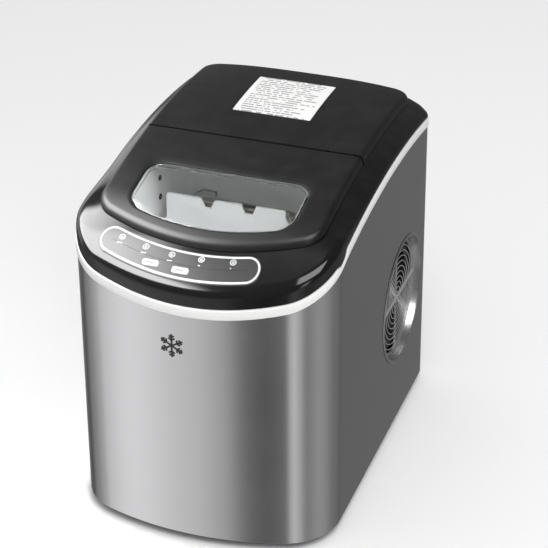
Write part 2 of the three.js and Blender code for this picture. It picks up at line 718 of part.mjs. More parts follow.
/** Comb plate that pushes the loose ice forward. */
function iceShovel() {
  const { y, z, height, from, to, shaft, notch } = SHOVEL;
  const plate = block(from, to, y - 1.2, y + 1.2, z, z + height);
  const axle = barAcross(shaft, -82, 82, y, z, 12);
  const third = (to - from) / 3;
  const notches = [1, 2].map((i) => {
    const x = from + i * third;
    return block(x - 3.5, x + 3.5, y - 5, y + 5, z + height - notch, z + height + 5);
  });
  return cut(join(plate, axle), ...notches);
}

/** Tilting water tray: a trough on two stub axles. */
function waterTray() {
  const { y, z, radius, wall, from, to, axle } = TRAY;
  const trough = cut(
    barAcross(radius, from, to, y, z, 32),
    barAcross(radius - wall, from + wall, to - wall, y, z, 32),
    block(from - 5, to + 5, y - 40, y + 40, z - 6, z + 40),
  );
  const cheek = (x) => block(x, x + wall, y - 7, y + 7, z - 12, z + 5);
  const stubs = [barAcross(axle, -82, from + 1, y, z, 12), barAcross(axle, to - 1, 84, y, z, 12)];
  return join(trough, cheek(from), cheek(to - wall), ...stubs);
}

/** Evaporator: U-shaped tube with nine freezing fingers. */
function evaporator() {
  const { z, rows, tube, finger, tip, pitch } = EVAPORATOR;
  const [front, rear] = rows;
  const bend = [[-62, front, z], [-70, (front + rear) / 2, z], [-62, rear, z]];
  const outlet = [[SUCTION.x - 6, rear + 1, z], [SUCTION.x, 38, z], [SUCTION.x, 46, z]];
  const route = [[36, front, z], [-30, front, z], ...bend, [-30, rear, z], [30, rear, z], ...outlet];
  const loopTube = tubing(tube, route, 28);
  const fingerAt = (x, y) => post(finger, x, y, tip, z, 8);
  const frontFingers = [-2, -1, 0, 1, 2].map((i) => fingerAt(-13 + i * pitch, front));
  const rearFingers = [-1.5, -0.5, 0.5, 1.5].map((i) => fingerAt(-13 + i * pitch, rear));
  return join(loopTube, ...frontFingers, ...rearFingers);
}

/** Geared motor that tips the tray: a round case with two mounting ears. */
function trayMotor() {
  const { radius, from, to } = TRAY_MOTOR;
  const ears = block(from + 3.4, to - 4, TRAY.y - radius - 7, TRAY.y + radius + 7, TRAY.z - 6, TRAY.z + 6);
  return join(barAcross(radius, from, to, TRAY.y, TRAY.z), ears);
}

/** Small pump on the tank's floor, with its outlet upwards. */
function waterPump() {
  const { x, y, halfWidth, halfDepth, spout, top } = PUMP;
  const shoulder = top - 6;
  const body = block(x - halfWidth, x + halfWidth, y - 18, y + halfDepth + 1, TANK_FLOOR + 3.3, shoulder);
  return join(body, post(spout, x, y, shoulder - 2, top));
}

/** Hose from the pump up the tank's left wall to the tray. */
function waterHose() {
  return tubing(3, [
    [PUMP.x, PUMP.y, PUMP.top + 0.5],
    [PUMP.x, PUMP.y, 116],
    [-64, 24, 126],
    [-73, 34, 150],
    [-75, 36.5, 200],
    [-73.5, 38, 230],
    [-64, 42, 240],
    [-50, 42, 240],
  ], 26);
}

/** Infrared sensor holder outside one tank wall, with two lenses through it. */
function iceSensor(side) {
  const [low, high] = SENSOR.heights;
  const [near, far] = [(TANK.halfWidth + GAP) * side, (TANK.halfWidth + 4) * side];
  const holder = block(near, far, SENSOR.y - 7, SENSOR.y + 7, low - 7, high + 7);
  const inner = (TANK.halfWidth - PLATE - 1) * side;
  const ends = [Math.min(inner, far), Math.max(inner, far)];
  return join(holder, ...SENSOR.heights.map((z) => barAcross(SENSOR.lens, ...ends, SENSOR.y, z, 12)));
}

piece('inner_tank', innerTank(), WHITE);
piece('tank_foam', tankFoam(), FOAM);
piece('ice_basket', iceBasket(), WHITE);
piece('ice_shovel', iceShovel(), WHITE);
piece('water_tray', waterTray(), WHITE);
piece('evaporator', evaporator(), COPPER);
piece('ice_sensor_left', iceSensor(-1), BLACK_MATT);
piece('ice_sensor_right', iceSensor(1), BLACK_MATT);
piece('tray_motor', trayMotor(), ALUMINIUM);
piece('water_pump', waterPump(), BLACK_MATT);
piece('water_hose', waterHose(), CLEAR);

// ---- Cooling ------------------------------------------------------------------------------

/** Compressor: domed can on a foot plate. */
function compressor() {
  const { x, y, radius, foot, top } = COMPRESSOR;
  const dome = [[radius, top - 30], [radius - 6, top - 12], [radius - 24, top - 2], [0, top]];
  const can = turned([[0, foot], [radius - 6, foot], [radius, foot + 8], ...dome], x, y, 0, 24);
  const plate = prism(roundedRect(x, y, 84, 84, 10), foot, foot + 3, 4);
  const stub = post(5, x, y - 20, top - 6, top + 8, 12);
  return join(can, plate, stub);
}

/** Condenser: finned block with hairpin bends at both ends. */
function condenser() {
  const [x0, x1, y0, y1, z0, z1] = [42, 62, 68, 156, 34, 196];
  const core = block(x0, x1, y0 + 8, y1 - 8, z0, z1);
  const grooves = Array.from({ length: 9 }, (unused, i) => {
    const y = y0 + 12 + i * 8;
    const groove = (from, to) => block(from, to, y - 1, y + 1, z0 - 1, z1 + 1);
    return [groove(x0 - 1, x0 + 7), groove(x1 - 7, x1 + 1)];
  }).flat();
  const middle = (x0 + x1) / 2;
  const bends = Array.from({ length: 3 }, (unused, i) => {
    const z = z0 + 15 + i * 66;
    return block(middle - 3, middle + 3, y0, y1, z - 3, z + 3);
  });
  return join(cut(core, ...grooves), ...bends);
}

/** Five-bladed fan with a blind bore in its hub. */
function fanBlade() {
  const hub = barAcross(FAN.hub, FAN.back, FAN.front, VENT.y, VENT.z, 20);
  const blades = Array.from({ length: 5 }, (unused, i) => {
    const blade = new THREE.BoxGeometry(1.6, 26, FAN.radius - 8);
    blade.rotateZ(THREE.MathUtils.degToRad(72));
    blade.translate(0, 0, (FAN.radius - 8) / 2 + 8);
    blade.rotateX((i * 2 * Math.PI) / 5);
    return solid(blade.translate((FAN.back + FAN.front) / 2, VENT.y, VENT.z));
  });
  const disc = barAcross(FAN.radius, FAN.back, FAN.front, VENT.y, VENT.z, 24);
  const bore = barAcross(2.4, FAN.back - 2, FAN.back + 6, VENT.y, VENT.z, 12);
  return cut(join(hub, ...blades).intersect(disc), bore);
}

/** Square shroud around the fan, with four arms to its motor ring. */
function fanShroud() {
  const [x0, x1] = [95, 110.5];
  const half = 52;
  const frame = prism(roundedRect(0, 0, 2 * half, 2 * half, 8), x1 - 3, x1, 3);
  const plate = solid(geometryOf(frame).rotateY(Math.PI / 2).translate(0, VENT.y, VENT.z));
  const ring = barAcross(49, x0, x1, VENT.y, VENT.z, 24);
  const bore = barAcross(47, x0 - 5, x1 + 5, VENT.y, VENT.z, 24);
  const arms = [45, 135].map((degrees) => {
    const arm = new THREE.BoxGeometry(3, 96, 6).rotateX(THREE.MathUtils.degToRad(degrees));
    return solid(arm.translate(x0 + 1.5, VENT.y, VENT.z));
  });
  const hub = barAcross(14, x0, x0 + 3, VENT.y, VENT.z, 20);
  const shaftHole = barAcross(4, x0 - 5, x0 + 8, VENT.y, VENT.z, 12);
  return cut(join(cut(join(plate, ring), bore), ...arms, hub), shaftHole);
}

/** Fan motor behind the shroud, its shaft reaching into the fan's hub. */
function fanMotor() {
  return turnedAcross([
    [0, 66.5],
    [17, 66.5],
    [19, 69],
    [19, 92],
    [16, 94.6],
    [2, 94.6],
    [2, 104],
    [0, 104],
  ], VENT.y, VENT.z);
}

/** Rubber bush under the compressor's plate. */
function grommet(x, y) {
  const profile = [[0, 0], [7, 0], [7, 3], [5, 4], [7, 5], [7, 8], [0, 8]];
  return turned(profile, x, y, BASE_Z + PLATE + 0.5, 12);
}

/** Filter drier: upright copper can with a neck at each end. */
function filterDrier() {
  const profile = [[0, 62], [3, 62], [3, 70], [9, 76], [9, 140], [3, 147], [3, 156], [0, 156]];
  return turned(profile, DRIER.x, DRIER.y, 0, 16);
}

/** Suction tube from the evaporator to the compressor's top. */
function suctionTube() {
  const portY = COMPRESSOR.y - 20;
  return tubing(SUCTION.radius, [
    [SUCTION.x, 46.4, EVAPORATOR.z],
    [SUCTION.x, 58, EVAPORATOR.z],
    [50, 68, 226],
    [0, 84, 206],
    [-40, 92, 180],
    [COMPRESSOR.x, portY, 164],
    [COMPRESSOR.x, portY, COMPRESSOR.top + 8.5],
  ], 28);
}

/** Discharge tube from the compressor's side to the condenser. */
function dischargeTube() {
  const { y, z, radius } = DISCHARGE;
  const start = COMPRESSOR.x + COMPRESSOR.radius + 0.9;
  return tubing(radius, [[start, y, z], [3, y, z], [14, y + 6, z - 4], [32, y, z], [41.5, y, z]], 18);
}

piece('vent_fan', fanBlade(), BLACK_MATT);
piece('fan_shroud', fanShroud(), ALUMINIUM);
piece('fan_motor', fanMotor(), DARK_METAL);
piece('compressor', compressor(), DARK_METAL);
for (const [i, [dx, dy]] of [[-34, -34], [34, -34], [0, 36]].entries()) {
  piece(`compressor_grommet_${i + 1}`, grommet(COMPRESSOR.x + dx, COMPRESSOR.y + dy), RUBBER);
}
piece('compressor_relay', block(COMPRESSOR.x + 46, COMPRESSOR.x + 62, 98, 128, 60, 96), BLACK_MATT);
piece('condenser', condenser(), ALUMINIUM);
piece('filter_drier', filterDrier(), COPPER);
piece('suction_tube', suctionTube(), COPPER);
piece('discharge_tube', dischargeTube(), COPPER);

// ---- Electrics and rear fittings ----------------------------------------------------------

/** Power board on edge near the rear panel, with its larger components. */
function powerBoard() {
  const board = block(-98, -22, 154, 155.6, 176, 246);
  const transformer = block(-92, -62, 134, 154.2, 184, 210);
  const relay = block(-54, -34, 140, 154.2, 184, 200);
  const capacitor = turnedAlong([[0, 136], [7, 136], [7, 154.2], [0, 154.2]], -44, 226, 16);
  return join(board, transformer, relay, capacitor);
}

/** Rubber gland that the power cord passes through. */
function cordGland() {
  const { x, z, radius } = GLAND;
  return turnedAlong([
    [4, 158],
    [7, 158],
    [7, 162],
    [radius, 163],
    [radius, 166.3],
    [12, 166.3],
    [12, 168.5],
    [7, 171],
    [4, 171],
    [4, 158],
  ], x, z);
}

/** Drain outlet in the rear panel. */
function drainSpout() {
  const { x, z, radius } = DRAIN;
  return turnedAlong([
    [3.4, 159],
    [5, 159],
    [5, 162],
    [radius, 163.2],
    [radius, 167.6],
    [3.4, 167.6],
    [3.4, 159],
  ], x, z);
}

/** Cap that plugs the drain outlet. */
function drainCap() {
  const profile = [[0, 159], [2.9, 159], [2.9, 167.9], [9.5, 167.9], [9.5, 171], [0, 171]];
  return turnedAlong(profile, DRAIN.x, DRAIN.z);
}

piece('power_board', powerBoard(), GREEN_BOARD);
piece('cord_gland', cordGland(), RUBBER);
piece('drain_spout', drainSpout(), WHITE);
piece('drain_cap', drainCap(), RUBBER);
for (const [i, [x, z]] of REAR_SCREWS.entries()) {
  const profile = [[0, 166.3], [4, 166.3], [3.2, 168.3], [0, 168.6]];
  piece(`rear_screw_${i + 1}`, turnedAlong(profile, x, z, 10), STEEL);
}

export default iceMaker;
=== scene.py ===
"""Countertop ice maker: the finished look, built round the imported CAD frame.

The CAD frame gives the bodies, the nodes and the outer box. Each sub-assembly below is a class that
holds its sizes in millimetres, lofts its own fine meshes and dresses them. Plans and heights follow
the same few curves as the CAD source: a bow-fronted outline and a crown that dives to the front.
"""

import logging
import math
from dataclasses import dataclass, field
from enum import Enum
from functools import cache
from typing import Callable, Optional, Sequence, Union

import bmesh
import bpy
from bmesh.types import BMEdge, BMesh, BMVert
from bpy.types import Material, Node, NodeSocket, NodeTree, Object, World
from mathutils import Matrix, Vector


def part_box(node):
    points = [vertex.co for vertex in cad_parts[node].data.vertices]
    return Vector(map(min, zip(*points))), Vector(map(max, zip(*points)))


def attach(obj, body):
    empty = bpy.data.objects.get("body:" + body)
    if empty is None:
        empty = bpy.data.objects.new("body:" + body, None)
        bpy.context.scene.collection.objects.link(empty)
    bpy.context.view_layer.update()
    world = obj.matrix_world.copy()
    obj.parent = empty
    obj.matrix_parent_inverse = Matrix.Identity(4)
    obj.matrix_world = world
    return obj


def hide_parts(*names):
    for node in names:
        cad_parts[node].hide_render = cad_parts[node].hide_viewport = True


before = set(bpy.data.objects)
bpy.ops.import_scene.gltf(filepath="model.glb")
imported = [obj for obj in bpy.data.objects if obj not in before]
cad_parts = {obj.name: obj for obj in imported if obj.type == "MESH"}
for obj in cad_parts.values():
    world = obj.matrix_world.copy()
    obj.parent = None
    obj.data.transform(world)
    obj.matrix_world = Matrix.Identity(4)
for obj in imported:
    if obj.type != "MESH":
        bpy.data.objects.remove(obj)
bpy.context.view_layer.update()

LOG = logging.getLogger("ice_maker")
MM = 0.001
GAP = 0.3
BASE_Z = 8.0
QUARTER = math.pi / 2
THROUGH_SIDE = (100.0, 140.0)
THROUGH_REAR = (150.0, 180.0)
Point = tuple[float, float]
Height = Callable[[float, float], float]
Loop = list[Vector]
Colour = tuple[float, float, float]
Socket = Union[NodeSocket, float]


class Body(Enum):
    """CAD bodies that pieces ride on."""

    CABINET = "cabinet"
    LID = "lid"
    POWER_BUTTON = "power_button"
    SELECT_BUTTON = "select_button"
    FAN = "fan"
    TRAY = "tray"
    SHOVEL = "shovel"
    BASKET = "basket"
    DRAIN_CAP = "drain_cap"


class Slot(Enum):
    """Material slots of the record."""

    STEEL = "steel"
    BLACK_GLOSS = "black_gloss"
    BLACK_MATT = "black_matt"
    WHITE_PLASTIC = "white_plastic"
    CLEAR_PLASTIC = "clear_plastic"
    SILVER_FILM = "silver_film"
    LAMP = "lamp"
    PAPER = "paper"
    RUBBER = "rubber"
    FOAM = "foam"
    CIRCUIT_BOARD = "circuit_board"
    COPPER = "copper"
    ALUMINIUM = "aluminium"
    PAINTED_STEEL = "painted_steel"


class Axis(Enum):
    """Axes that a body of revolution can turn about."""

    X = "x"
    Y = "y"
    Z = "z"


# ---- Curves --------------------------------------------------------------------------------


@dataclass(frozen=True)
class Crown:
    """Height of the steel's top edge along the depth, and the surfaces that follow it."""

    crest: float = 292.0
    crest_y: float = 50.0
    bow: float = 7e-4
    dive_from: float = -90.0
    dive: float = 2.95e-3
    panel_top: float = 32.0
    camber: float = 6.0
    camber_from: float = 20.0
    camber_to: float = 163.0
    half_width: float = 104.0
    ledge_inner: float = 99.0
    ledge_outer: float = 116.0
    ledge_droop: float = 8.0
    ledge_front: float = -125.0
    ledge_full: float = -35.0

    def at(self, y: float) -> float:
        """Height of the steel's edge at depth y."""
        dive = max(0.0, self.dive_from - y)
        return self.crest - self.bow * (y - self.crest_y) ** 2 - self.dive * dive**2

    def slope(self, y: float) -> float:
        """Rise of the crown per millimetre of depth at y."""
        dive = max(0.0, self.dive_from - y)
        return -2 * self.bow * (y - self.crest_y) + 2 * self.dive * dive

    def above(self, offset: float) -> Height:
        """Height function at a constant offset above the crown."""
        return lambda x, y: self.at(y) + offset

    def panel(self, offset: float) -> Height:
        """Height function of the lid and deck, offset from their top.

        Args:
            offset: Height above the top of the lid and deck.

        Returns:
            The height function.
        """

        def height(x: float, y: float) -> float:
            """Height of the panel at one place."""
            share = min(1.0, abs(x) / self.half_width)
            along = min(max((y - self.camber_from) / (self.camber_to - self.camber_from), 0.0), 1.0)
            raised = self.camber * (1 - share**3) * along
            return self.at(y) + self.panel_top + offset + raised

        return height

    def ledge(self, offset: float) -> Height:
        """Height function above the crown that falls away beside the lid and deck.

        Args:
            offset: Height above the crown where the ledge has not fallen away.

        Returns:
            The height function.
        """

        def height(x: float, y: float) -> float:
            """Height of the ledge at one place."""
            across = min(max((abs(x) - self.ledge_inner) / (self.ledge_outer - self.ledge_inner), 0.0), 1.0)
            along = min(max((y - self.ledge_front) / (self.ledge_full - self.ledge_front), 0.0), 1.0)
            return self.at(y) + offset - self.ledge_droop * across * along**2 * (3 - 2 * along)

        return height


CROWN = Crown()


def level(z: float) -> Height:
    """Height function of one level."""
    return lambda x, y: z


def angles(start: float, end: float, steps: int) -> list[float]:
    """Evenly spaced angles from start to end, both included."""
    return [start + (end - start) * i / steps for i in range(steps + 1)]


def arc(x: float, y: float, radius: float, start: float, end: float, steps: int) -> list[Point]:
    """Points of an arc without its last one.

    Args:
        x: Centre across.
        y: Centre along.
        radius: Radius of the arc.
        start: First angle in radians.
        end: Last angle in radians.
        steps: Number of points.

    Returns:
        The points in order.
    """
    angles = [start + (end - start) * i / steps for i in range(steps)]
    return [(x + radius * math.cos(a), y + radius * math.sin(a)) for a in angles]


def line(start: Point, end: Point, steps: int) -> list[Point]:
    """Points of a straight line without its last one."""
    return [
        (start[0] + (end[0] - start[0]) * i / steps, start[1] + (end[1] - start[1]) * i / steps)
        for i in range(steps)
    ]


@dataclass(frozen=True)
class Plan:
    """Plan outline: a wide arc in front, corner arcs, straight sides and a straight rear."""

    half_width: float
    front: float
    rear: float
    front_radius: float
    corner_radius: float
    rear_radius: float

    FRONT_STEPS = 64
    CORNER_STEPS = 24
    SIDE_STEPS = 110
    REAR_CORNER_STEPS = 10
    REAR_STEPS = 32
    SMALLEST = 0.2

    def outline(self, inset: float = 0.0) -> list[Point]:
        """Points of the outline, anticlockwise from the left end of the front arc.

        Args:
            inset: Distance inwards from the plan.

        Returns:
            The points, as many for every inset.
        """
        big_y = self.front + self.front_radius
        corner_x = self.half_width - self.corner_radius
        reach = math.sqrt((self.front_radius - self.corner_radius) ** 2 - corner_x**2)
        corner_y = big_y - reach
        sweep = math.atan2(corner_x, reach)
        down = -QUARTER
        side, back = self.half_width - inset, self.rear - inset
        rear_x, rear_y = self.half_width - self.rear_radius, self.rear - self.rear_radius
        corner = max(self.corner_radius - inset, self.SMALLEST)
        rear = max(self.rear_radius - inset, self.SMALLEST)
        return [
            *arc(0, big_y, self.front_radius - inset, down - sweep, down + sweep, self.FRONT_STEPS),
            *arc(corner_x, corner_y, corner, down + sweep, 0, self.CORNER_STEPS),
            *line((side, corner_y), (side, rear_y), self.SIDE_STEPS),
            *arc(rear_x, rear_y, rear, 0, QUARTER, self.REAR_CORNER_STEPS),
            *line((rear_x, back), (-rear_x, back), self.REAR_STEPS),
            *arc(-rear_x, rear_y, rear, QUARTER, math.pi, self.REAR_CORNER_STEPS),
            *line((-side, rear_y), (-side, corner_y), self.SIDE_STEPS),
            *arc(-corner_x, corner_y, corner, math.pi, 1.5 * math.pi - sweep, self.CORNER_STEPS),
        ]

    def open_rear(self, inset: float = 0.0) -> list[Point]:
        """Points of the outline from the rear left round the front to the rear right."""
        points = self.outline(inset)
        rear_start = self.FRONT_STEPS + self.CORNER_STEPS + self.SIDE_STEPS + self.REAR_CORNER_STEPS
        return points[rear_start + self.REAR_STEPS:] + points[: rear_start + 1]

    def front_y(self, x: float, proud: float = 0.0) -> float:
        """Depth of the front arc at x, moved outwards by proud."""
        big_y = self.front + self.front_radius
        return big_y - math.sqrt((self.front_radius + proud) ** 2 - x**2)


BODY = Plan(121, -170, 170, 270, 52, 14)
OPENING = Plan(99, -130, 160, 230, 20, 10)
LID = Plan(104, -135.5, 30, 235, 23, 1)
DECK = Plan(104, -20, 163, 1e5, 1, 16)
WINDOW = Plan(76, -123, -49, 207, 22, 16)
TANK = Plan(82.5, -124, 52, 236, 20, 16)
BASKET_PLAN = Plan(72, -116, -36, 226, 14, 12)
HINGE_Y = 5.0


def lift(points: Sequence[Point], height: Height) -> Loop:
    """Loop of points lifted to a height function."""
    return [Vector((x, y, height(x, y))) for x, y in points]


def between(first: Sequence[Point], second: Sequence[Point], share: float) -> list[Point]:
    """Outline part of the way from one outline to another with as many points."""
    return [(a[0] + (b[0] - a[0]) * share, a[1] + (b[1] - a[1]) * share) for a, b in zip(first, second)]


def shrunk(points: Sequence[Point], share: float) -> list[Point]:
    """Outline shrunk towards its middle: share 1 keeps it, 0 is the middle point."""
    middle_y = (min(p[1] for p in points) + max(p[1] for p in points)) / 2
    return [(x * share, middle_y + (y - middle_y) * share) for x, y in points]


def rounded(start: Point, end: Point, steps: int, flat_first: bool = False) -> list[Point]:
    """Quarter of an ellipse between two (inset, height) profile points.

    Args:
        start: First profile point.
        end: Last profile point.
        steps: Number of steps between them.
        flat_first: True if the curve leaves the start along the inset.

    Returns:
        The points in order, both ends included.
    """
    out = []
    for angle in angles(0, QUARTER, steps):
        slow, fast = 1 - math.cos(angle), math.sin(angle)
        across, up = (fast, slow) if flat_first else (slow, fast)
        out.append((start[0] + (end[0] - start[0]) * across, start[1] + (end[1] - start[1]) * up))
    return out


# ---- Meshes --------------------------------------------------------------------------------


def skin(loops: Sequence[Loop], ring: bool = True, wrap: bool = True) -> BMesh:
    """Surface over a list of loops.

    Args:
        loops: Loops with equal numbers of points.
        ring: True if the last loop joins the first.
        wrap: True if each loop is closed; otherwise its two ends are capped.

    Returns:
        The surface in millimetres.
    """
    bm = bmesh.new()
    rows = [[bm.verts.new(p) for p in loop] for loop in loops]
    count = len(rows[0])
    pairs = list(zip(rows, rows[1:] + rows[:1])) if ring else list(zip(rows, rows[1:]))
    for low, high in pairs:
        for i in range(count if wrap else count - 1):
            j = (i + 1) % count
            bm.faces.new((low[i], low[j], high[j], high[i]))
    if not wrap:
        bm.faces.new([row[0] for row in rows])
        bm.faces.new([row[-1] for row in reversed(rows)])
    if not ring:
        bm.faces.new(list(reversed(rows[0])))
        bm.faces.new(rows[-1])
    bmesh.ops.remove_doubles(bm, verts=bm.verts, dist=1e-4)
    bmesh.ops.dissolve_degenerate(bm, edges=bm.edges, dist=1e-5)
    return bm


def revolved(profile: Sequence[Point], axis: Axis, place: Vector, segments: int = 64) -> BMesh:
    """Body of revolution.

    Args:
        profile: (radius, distance along the axis) pairs, closed by joining the last to the first.
        axis: Axis that it turns about.
        place: Point that the axis passes through, and the zero of the distances.
        segments: Number of steps round.

    Returns:
        The body in millimetres.
    """
    turns = {
        Axis.X: lambda r, d, c, s: (d, r * c, r * s),
        Axis.Y: lambda r, d, c, s: (r * c, d, r * s),
        Axis.Z: lambda r, d, c, s: (r * c, r * s, d),
    }
    loops = []
    for radius, distance in profile:
        loop = []
        for i in range(segments):
            angle = 2 * math.pi * i / segments
            offset = turns[axis](radius, distance, math.cos(angle), math.sin(angle))
            loop.append(place + Vector(offset))
        loops.append(loop)
    return skin(loops)


def drill(radius: float, span: Point, axis: Axis, place: Vector, segments: int = 32) -> BMesh:
    """Round cutter between the two distances of a span along an axis."""
    start, end = span
    return revolved([(0, start), (radius, start), (radius, end), (0, end)], axis, place, segments)


def ring_tube(radius: float, thickness: float, axis: Axis, place: Vector, segments: int = 96) -> BMesh:
    """Round wire ring about an axis.

    Args:
        radius: Radius of the ring's middle line.
        thickness: Radius of the wire.
        axis: Axis of the ring.
        place: Middle of the ring.
        segments: Number of steps round.

    Returns:
        The ring in millimetres.
    """
    turns = angles(0, 2 * math.pi, 10)[:-1]
    profile = [(radius + thickness * math.cos(a), thickness * math.sin(a)) for a in turns]
    return revolved(profile, axis, place, segments)


def plate(outline: Sequence[Point], low: float, high: float, matrix: Matrix, bevel: float = 0.0) -> BMesh:
    """Flat plate of an outline, with softened edges.

    Args:
        outline: Points of the plate in its own plane.
        low: Lower side.
        high: Upper side.
        matrix: Placement of the plate.
        bevel: Width of the softened edge.

    Returns:
        The plate in millimetres.
    """
    bm = bmesh.new()
    bottom = [bm.verts.new((x, y, low)) for x, y in outline]
    face = bm.faces.new(bottom)
    made = bmesh.ops.extrude_face_region(bm, geom=[face])
    raised = [v for v in made["geom"] if isinstance(v, BMVert)]
    bmesh.ops.translate(bm, verts=raised, vec=(0, 0, high - low))
    bmesh.ops.recalc_face_normals(bm, faces=bm.faces)
    if bevel > 0:
        edges = [e for e in bm.edges if e.calc_face_angle(0) > math.radians(40)]
        bmesh.ops.bevel(bm, geom=edges, offset=bevel, segments=2, affect="EDGES", profile=0.7)
    bmesh.ops.transform(bm, matrix=matrix, verts=bm.verts)
    return bm


def box_outline(width: float, depth: float, radius: float, steps: int = 6) -> list[Point]:
    """Outline of a rounded rectangle about the origin.

    Args:
        width: Size across.
        depth: Size along.
        radius: Radius of the corners.
        steps: Points per corner.

    Returns:
        The points.
    """
    right, top = width / 2 - radius, depth / 2 - radius
    centres = [(right, top), (-right, top), (-right, -top), (right, -top)]
    corners = [arc(x, y, radius, i * QUARTER, (i + 1) * QUARTER, steps) for i, (x, y) in enumerate(centres)]
    return [p for corner in corners for p in corner]


def bar(low: Vector, high: Vector, bevel: float = 0.5) -> BMesh:
    """Block between two corners with softened edges.

    Args:
        low: Corner with the lowest coordinates.
        high: Opposite corner.
        bevel: Width of the softened edges.

    Returns:
        The block in millimetres.
    """
    size = high - low
    outline = [(0, 0), (size.x, 0), (size.x, size.y), (0, size.y)]
    return plate(outline, 0, size.z, Matrix.Translation(low), bevel)


def joined(parts: Sequence[BMesh]) -> BMesh:
    """One bmesh that holds several.

    Args:
        parts: Meshes, which are used up.

    Returns:
        The joined mesh.
    """
    whole = bmesh.new()
    for part in parts:
        mesh = bpy.data.meshes.new("part")
        part.to_mesh(mesh)
        part.free()
        whole.from_mesh(mesh)
        bpy.data.meshes.remove(mesh)
    return whole


def swept(route: Sequence[Vector], radius: float, sides: int = 20, per_span: int = 10) -> BMesh:
    """Round tube along a smooth route with closed ends.

    Args:
        route: Points that the tube passes through.
        radius: Outer radius.
        sides: Number of sides of the section.
        per_span: Steps between two route points.

    Returns:
        The tube in millimetres.
    """
    points = []
    padded = [2 * route[0] - route[1], *route, 2 * route[-1] - route[-2]]
    for a, b, c, d in zip(padded, padded[1:], padded[2:], padded[3:]):
        for i in range(per_span):
            t = i / per_span
            points.append(
                0.5
                * (
                    (2 * b)
                    + (c - a) * t
                    + (2 * a - 5 * b + 4 * c - d) * t**2
                    + (3 * b - a - 3 * c + d) * t**3
                )
            )
    points.append(route[-1])
    loops = []
    side = (points[1] - points[0]).orthogonal().normalized()
    for i, point in enumerate(points):
        tangent = (points[min(i + 1, len(points) - 1)] - points[max(i - 1, 0)]).normalized()
        side = (side - side.dot(tangent) * tangent).normalized()
        other = tangent.cross(side)
        angles = [2 * math.pi * k / sides for k in range(sides)]
        loops.append([point + radius * (math.cos(a) * side + math.sin(a) * other) for a in angles])
    return skin(loops, ring=False)


# ---- Node graphs ---------------------------------------------------------------------------


class Graph:
    """Adds and joins nodes in one node tree."""

    def __init__(self, tree: NodeTree) -> None:
        """Starts on a tree."""
        self.tree = tree

    def add(self, kind: str, **settings: object) -> Node:
        """New node with its settings."""
        node = self.tree.nodes.new(kind)
        for key, value in settings.items():
            setattr(node, key, value)
        return node

    def feed(self, target: NodeSocket, value: object) -> None:
        """Links a socket to the target, or sets it to a plain value."""
        if isinstance(value, NodeSocket):
            self.tree.links.new(value, target)
        else:
            target.default_value = value

    def math(self, operation: str, *values: Socket, clamp: bool = False) -> NodeSocket:
        """Result of a Math node.

        Args:
            operation: Blender's name of the operation.
            values: Inputs in order.
            clamp: True to keep the result between 0 and 1.

        Returns:
            The result's socket.
        """
        node = self.add("ShaderNodeMath", operation=operation, use_clamp=clamp)
        for socket, value in zip(node.inputs, values):
            self.feed(socket, value)
        return node.outputs[0]

    def product(self, *values: Socket) -> NodeSocket:
        """Values multiplied together.

        Args:
            values: Factors.

        Returns:
            The product's socket.
        """
        result = values[0]
        for value in values[1:]:
            result = self.math("MULTIPLY", result, value)
        return result

    def spread(
        self, value: Socket, low: Socket, high: Socket, start: float = 0.0, end: float = 1.0
    ) -> NodeSocket:
        """Value carried smoothly from the range low to high onto the range start to end.

        Args:
            value: Value to carry over.
            low: Value that gives start.
            high: Value that gives end.
            start: First result.
            end: Last result.

        Returns:
            The result's socket.
        """
        node = self.add("ShaderNodeMapRange", interpolation_type="SMOOTHSTEP")
        for socket, number in zip(node.inputs, (value, low, high, start, end)):
            self.feed(socket, number)
        return node.outputs[0]

    def mix(self, factor: Socket, first: object, second: object) -> NodeSocket:
        """Colour between two colours."""
        node = self.add("ShaderNodeMix", data_type="RGBA")
        for index, value in ((0, factor), (6, first), (7, second)):
            self.feed(node.inputs[index], value)
        return node.outputs[2]

    def stretched(self, along: Socket, across: Socket, upward: Socket) -> NodeSocket:
        """Object coordinates, scaled along each axis.

        Args:
            along: Scale of x.
            across: Scale of y.
            upward: Scale of z.

        Returns:
            The scaled coordinates' socket.
        """
        place = self.add("ShaderNodeTexCoord").outputs["Object"]
        scale = self.add("ShaderNodeCombineXYZ")
        for socket, value in zip(scale.inputs, (along, across, upward)):
            self.feed(socket, value)
        node = self.add("ShaderNodeVectorMath", operation="MULTIPLY")
        self.feed(node.inputs[0], place)
        self.feed(node.inputs[1], scale.outputs[0])
        return node.outputs[0]

    def noise(self, vector: NodeSocket, scale: Socket, detail: float = 3.0) -> NodeSocket:
        """Factor of a noise texture.

        Args:
            vector: Place that is looked up.
            scale: Scale of the noise.
            detail: Levels of finer noise.

        Returns:
            The factor's socket.
        """
        node = self.add("ShaderNodeTexNoise")
        self.feed(node.inputs["Vector"], vector)
        self.feed(node.inputs["Scale"], scale)
        self.feed(node.inputs["Detail"], detail)
        return node.outputs["Fac"]

    def effect(self, maker: Callable[[], NodeTree], **values: Socket) -> Node:
        """Places an effect group and gives its inputs their values.

        Args:
            maker: Function that makes the group once.
            values: Input values by lower-case name.

        Returns:
            The group's node.
        """
        node = self.add("ShaderNodeGroup", node_tree=maker())
        for key, value in values.items():
            self.feed(node.inputs[key.replace("_", " ").title()], value)
        return node


def fresh_graph(owner: Union[Material, World]) -> Graph:
    """Empty node graph of a material or a world."""
    owner.use_nodes = True
    owner.node_tree.nodes.clear()
    return Graph(owner.node_tree)


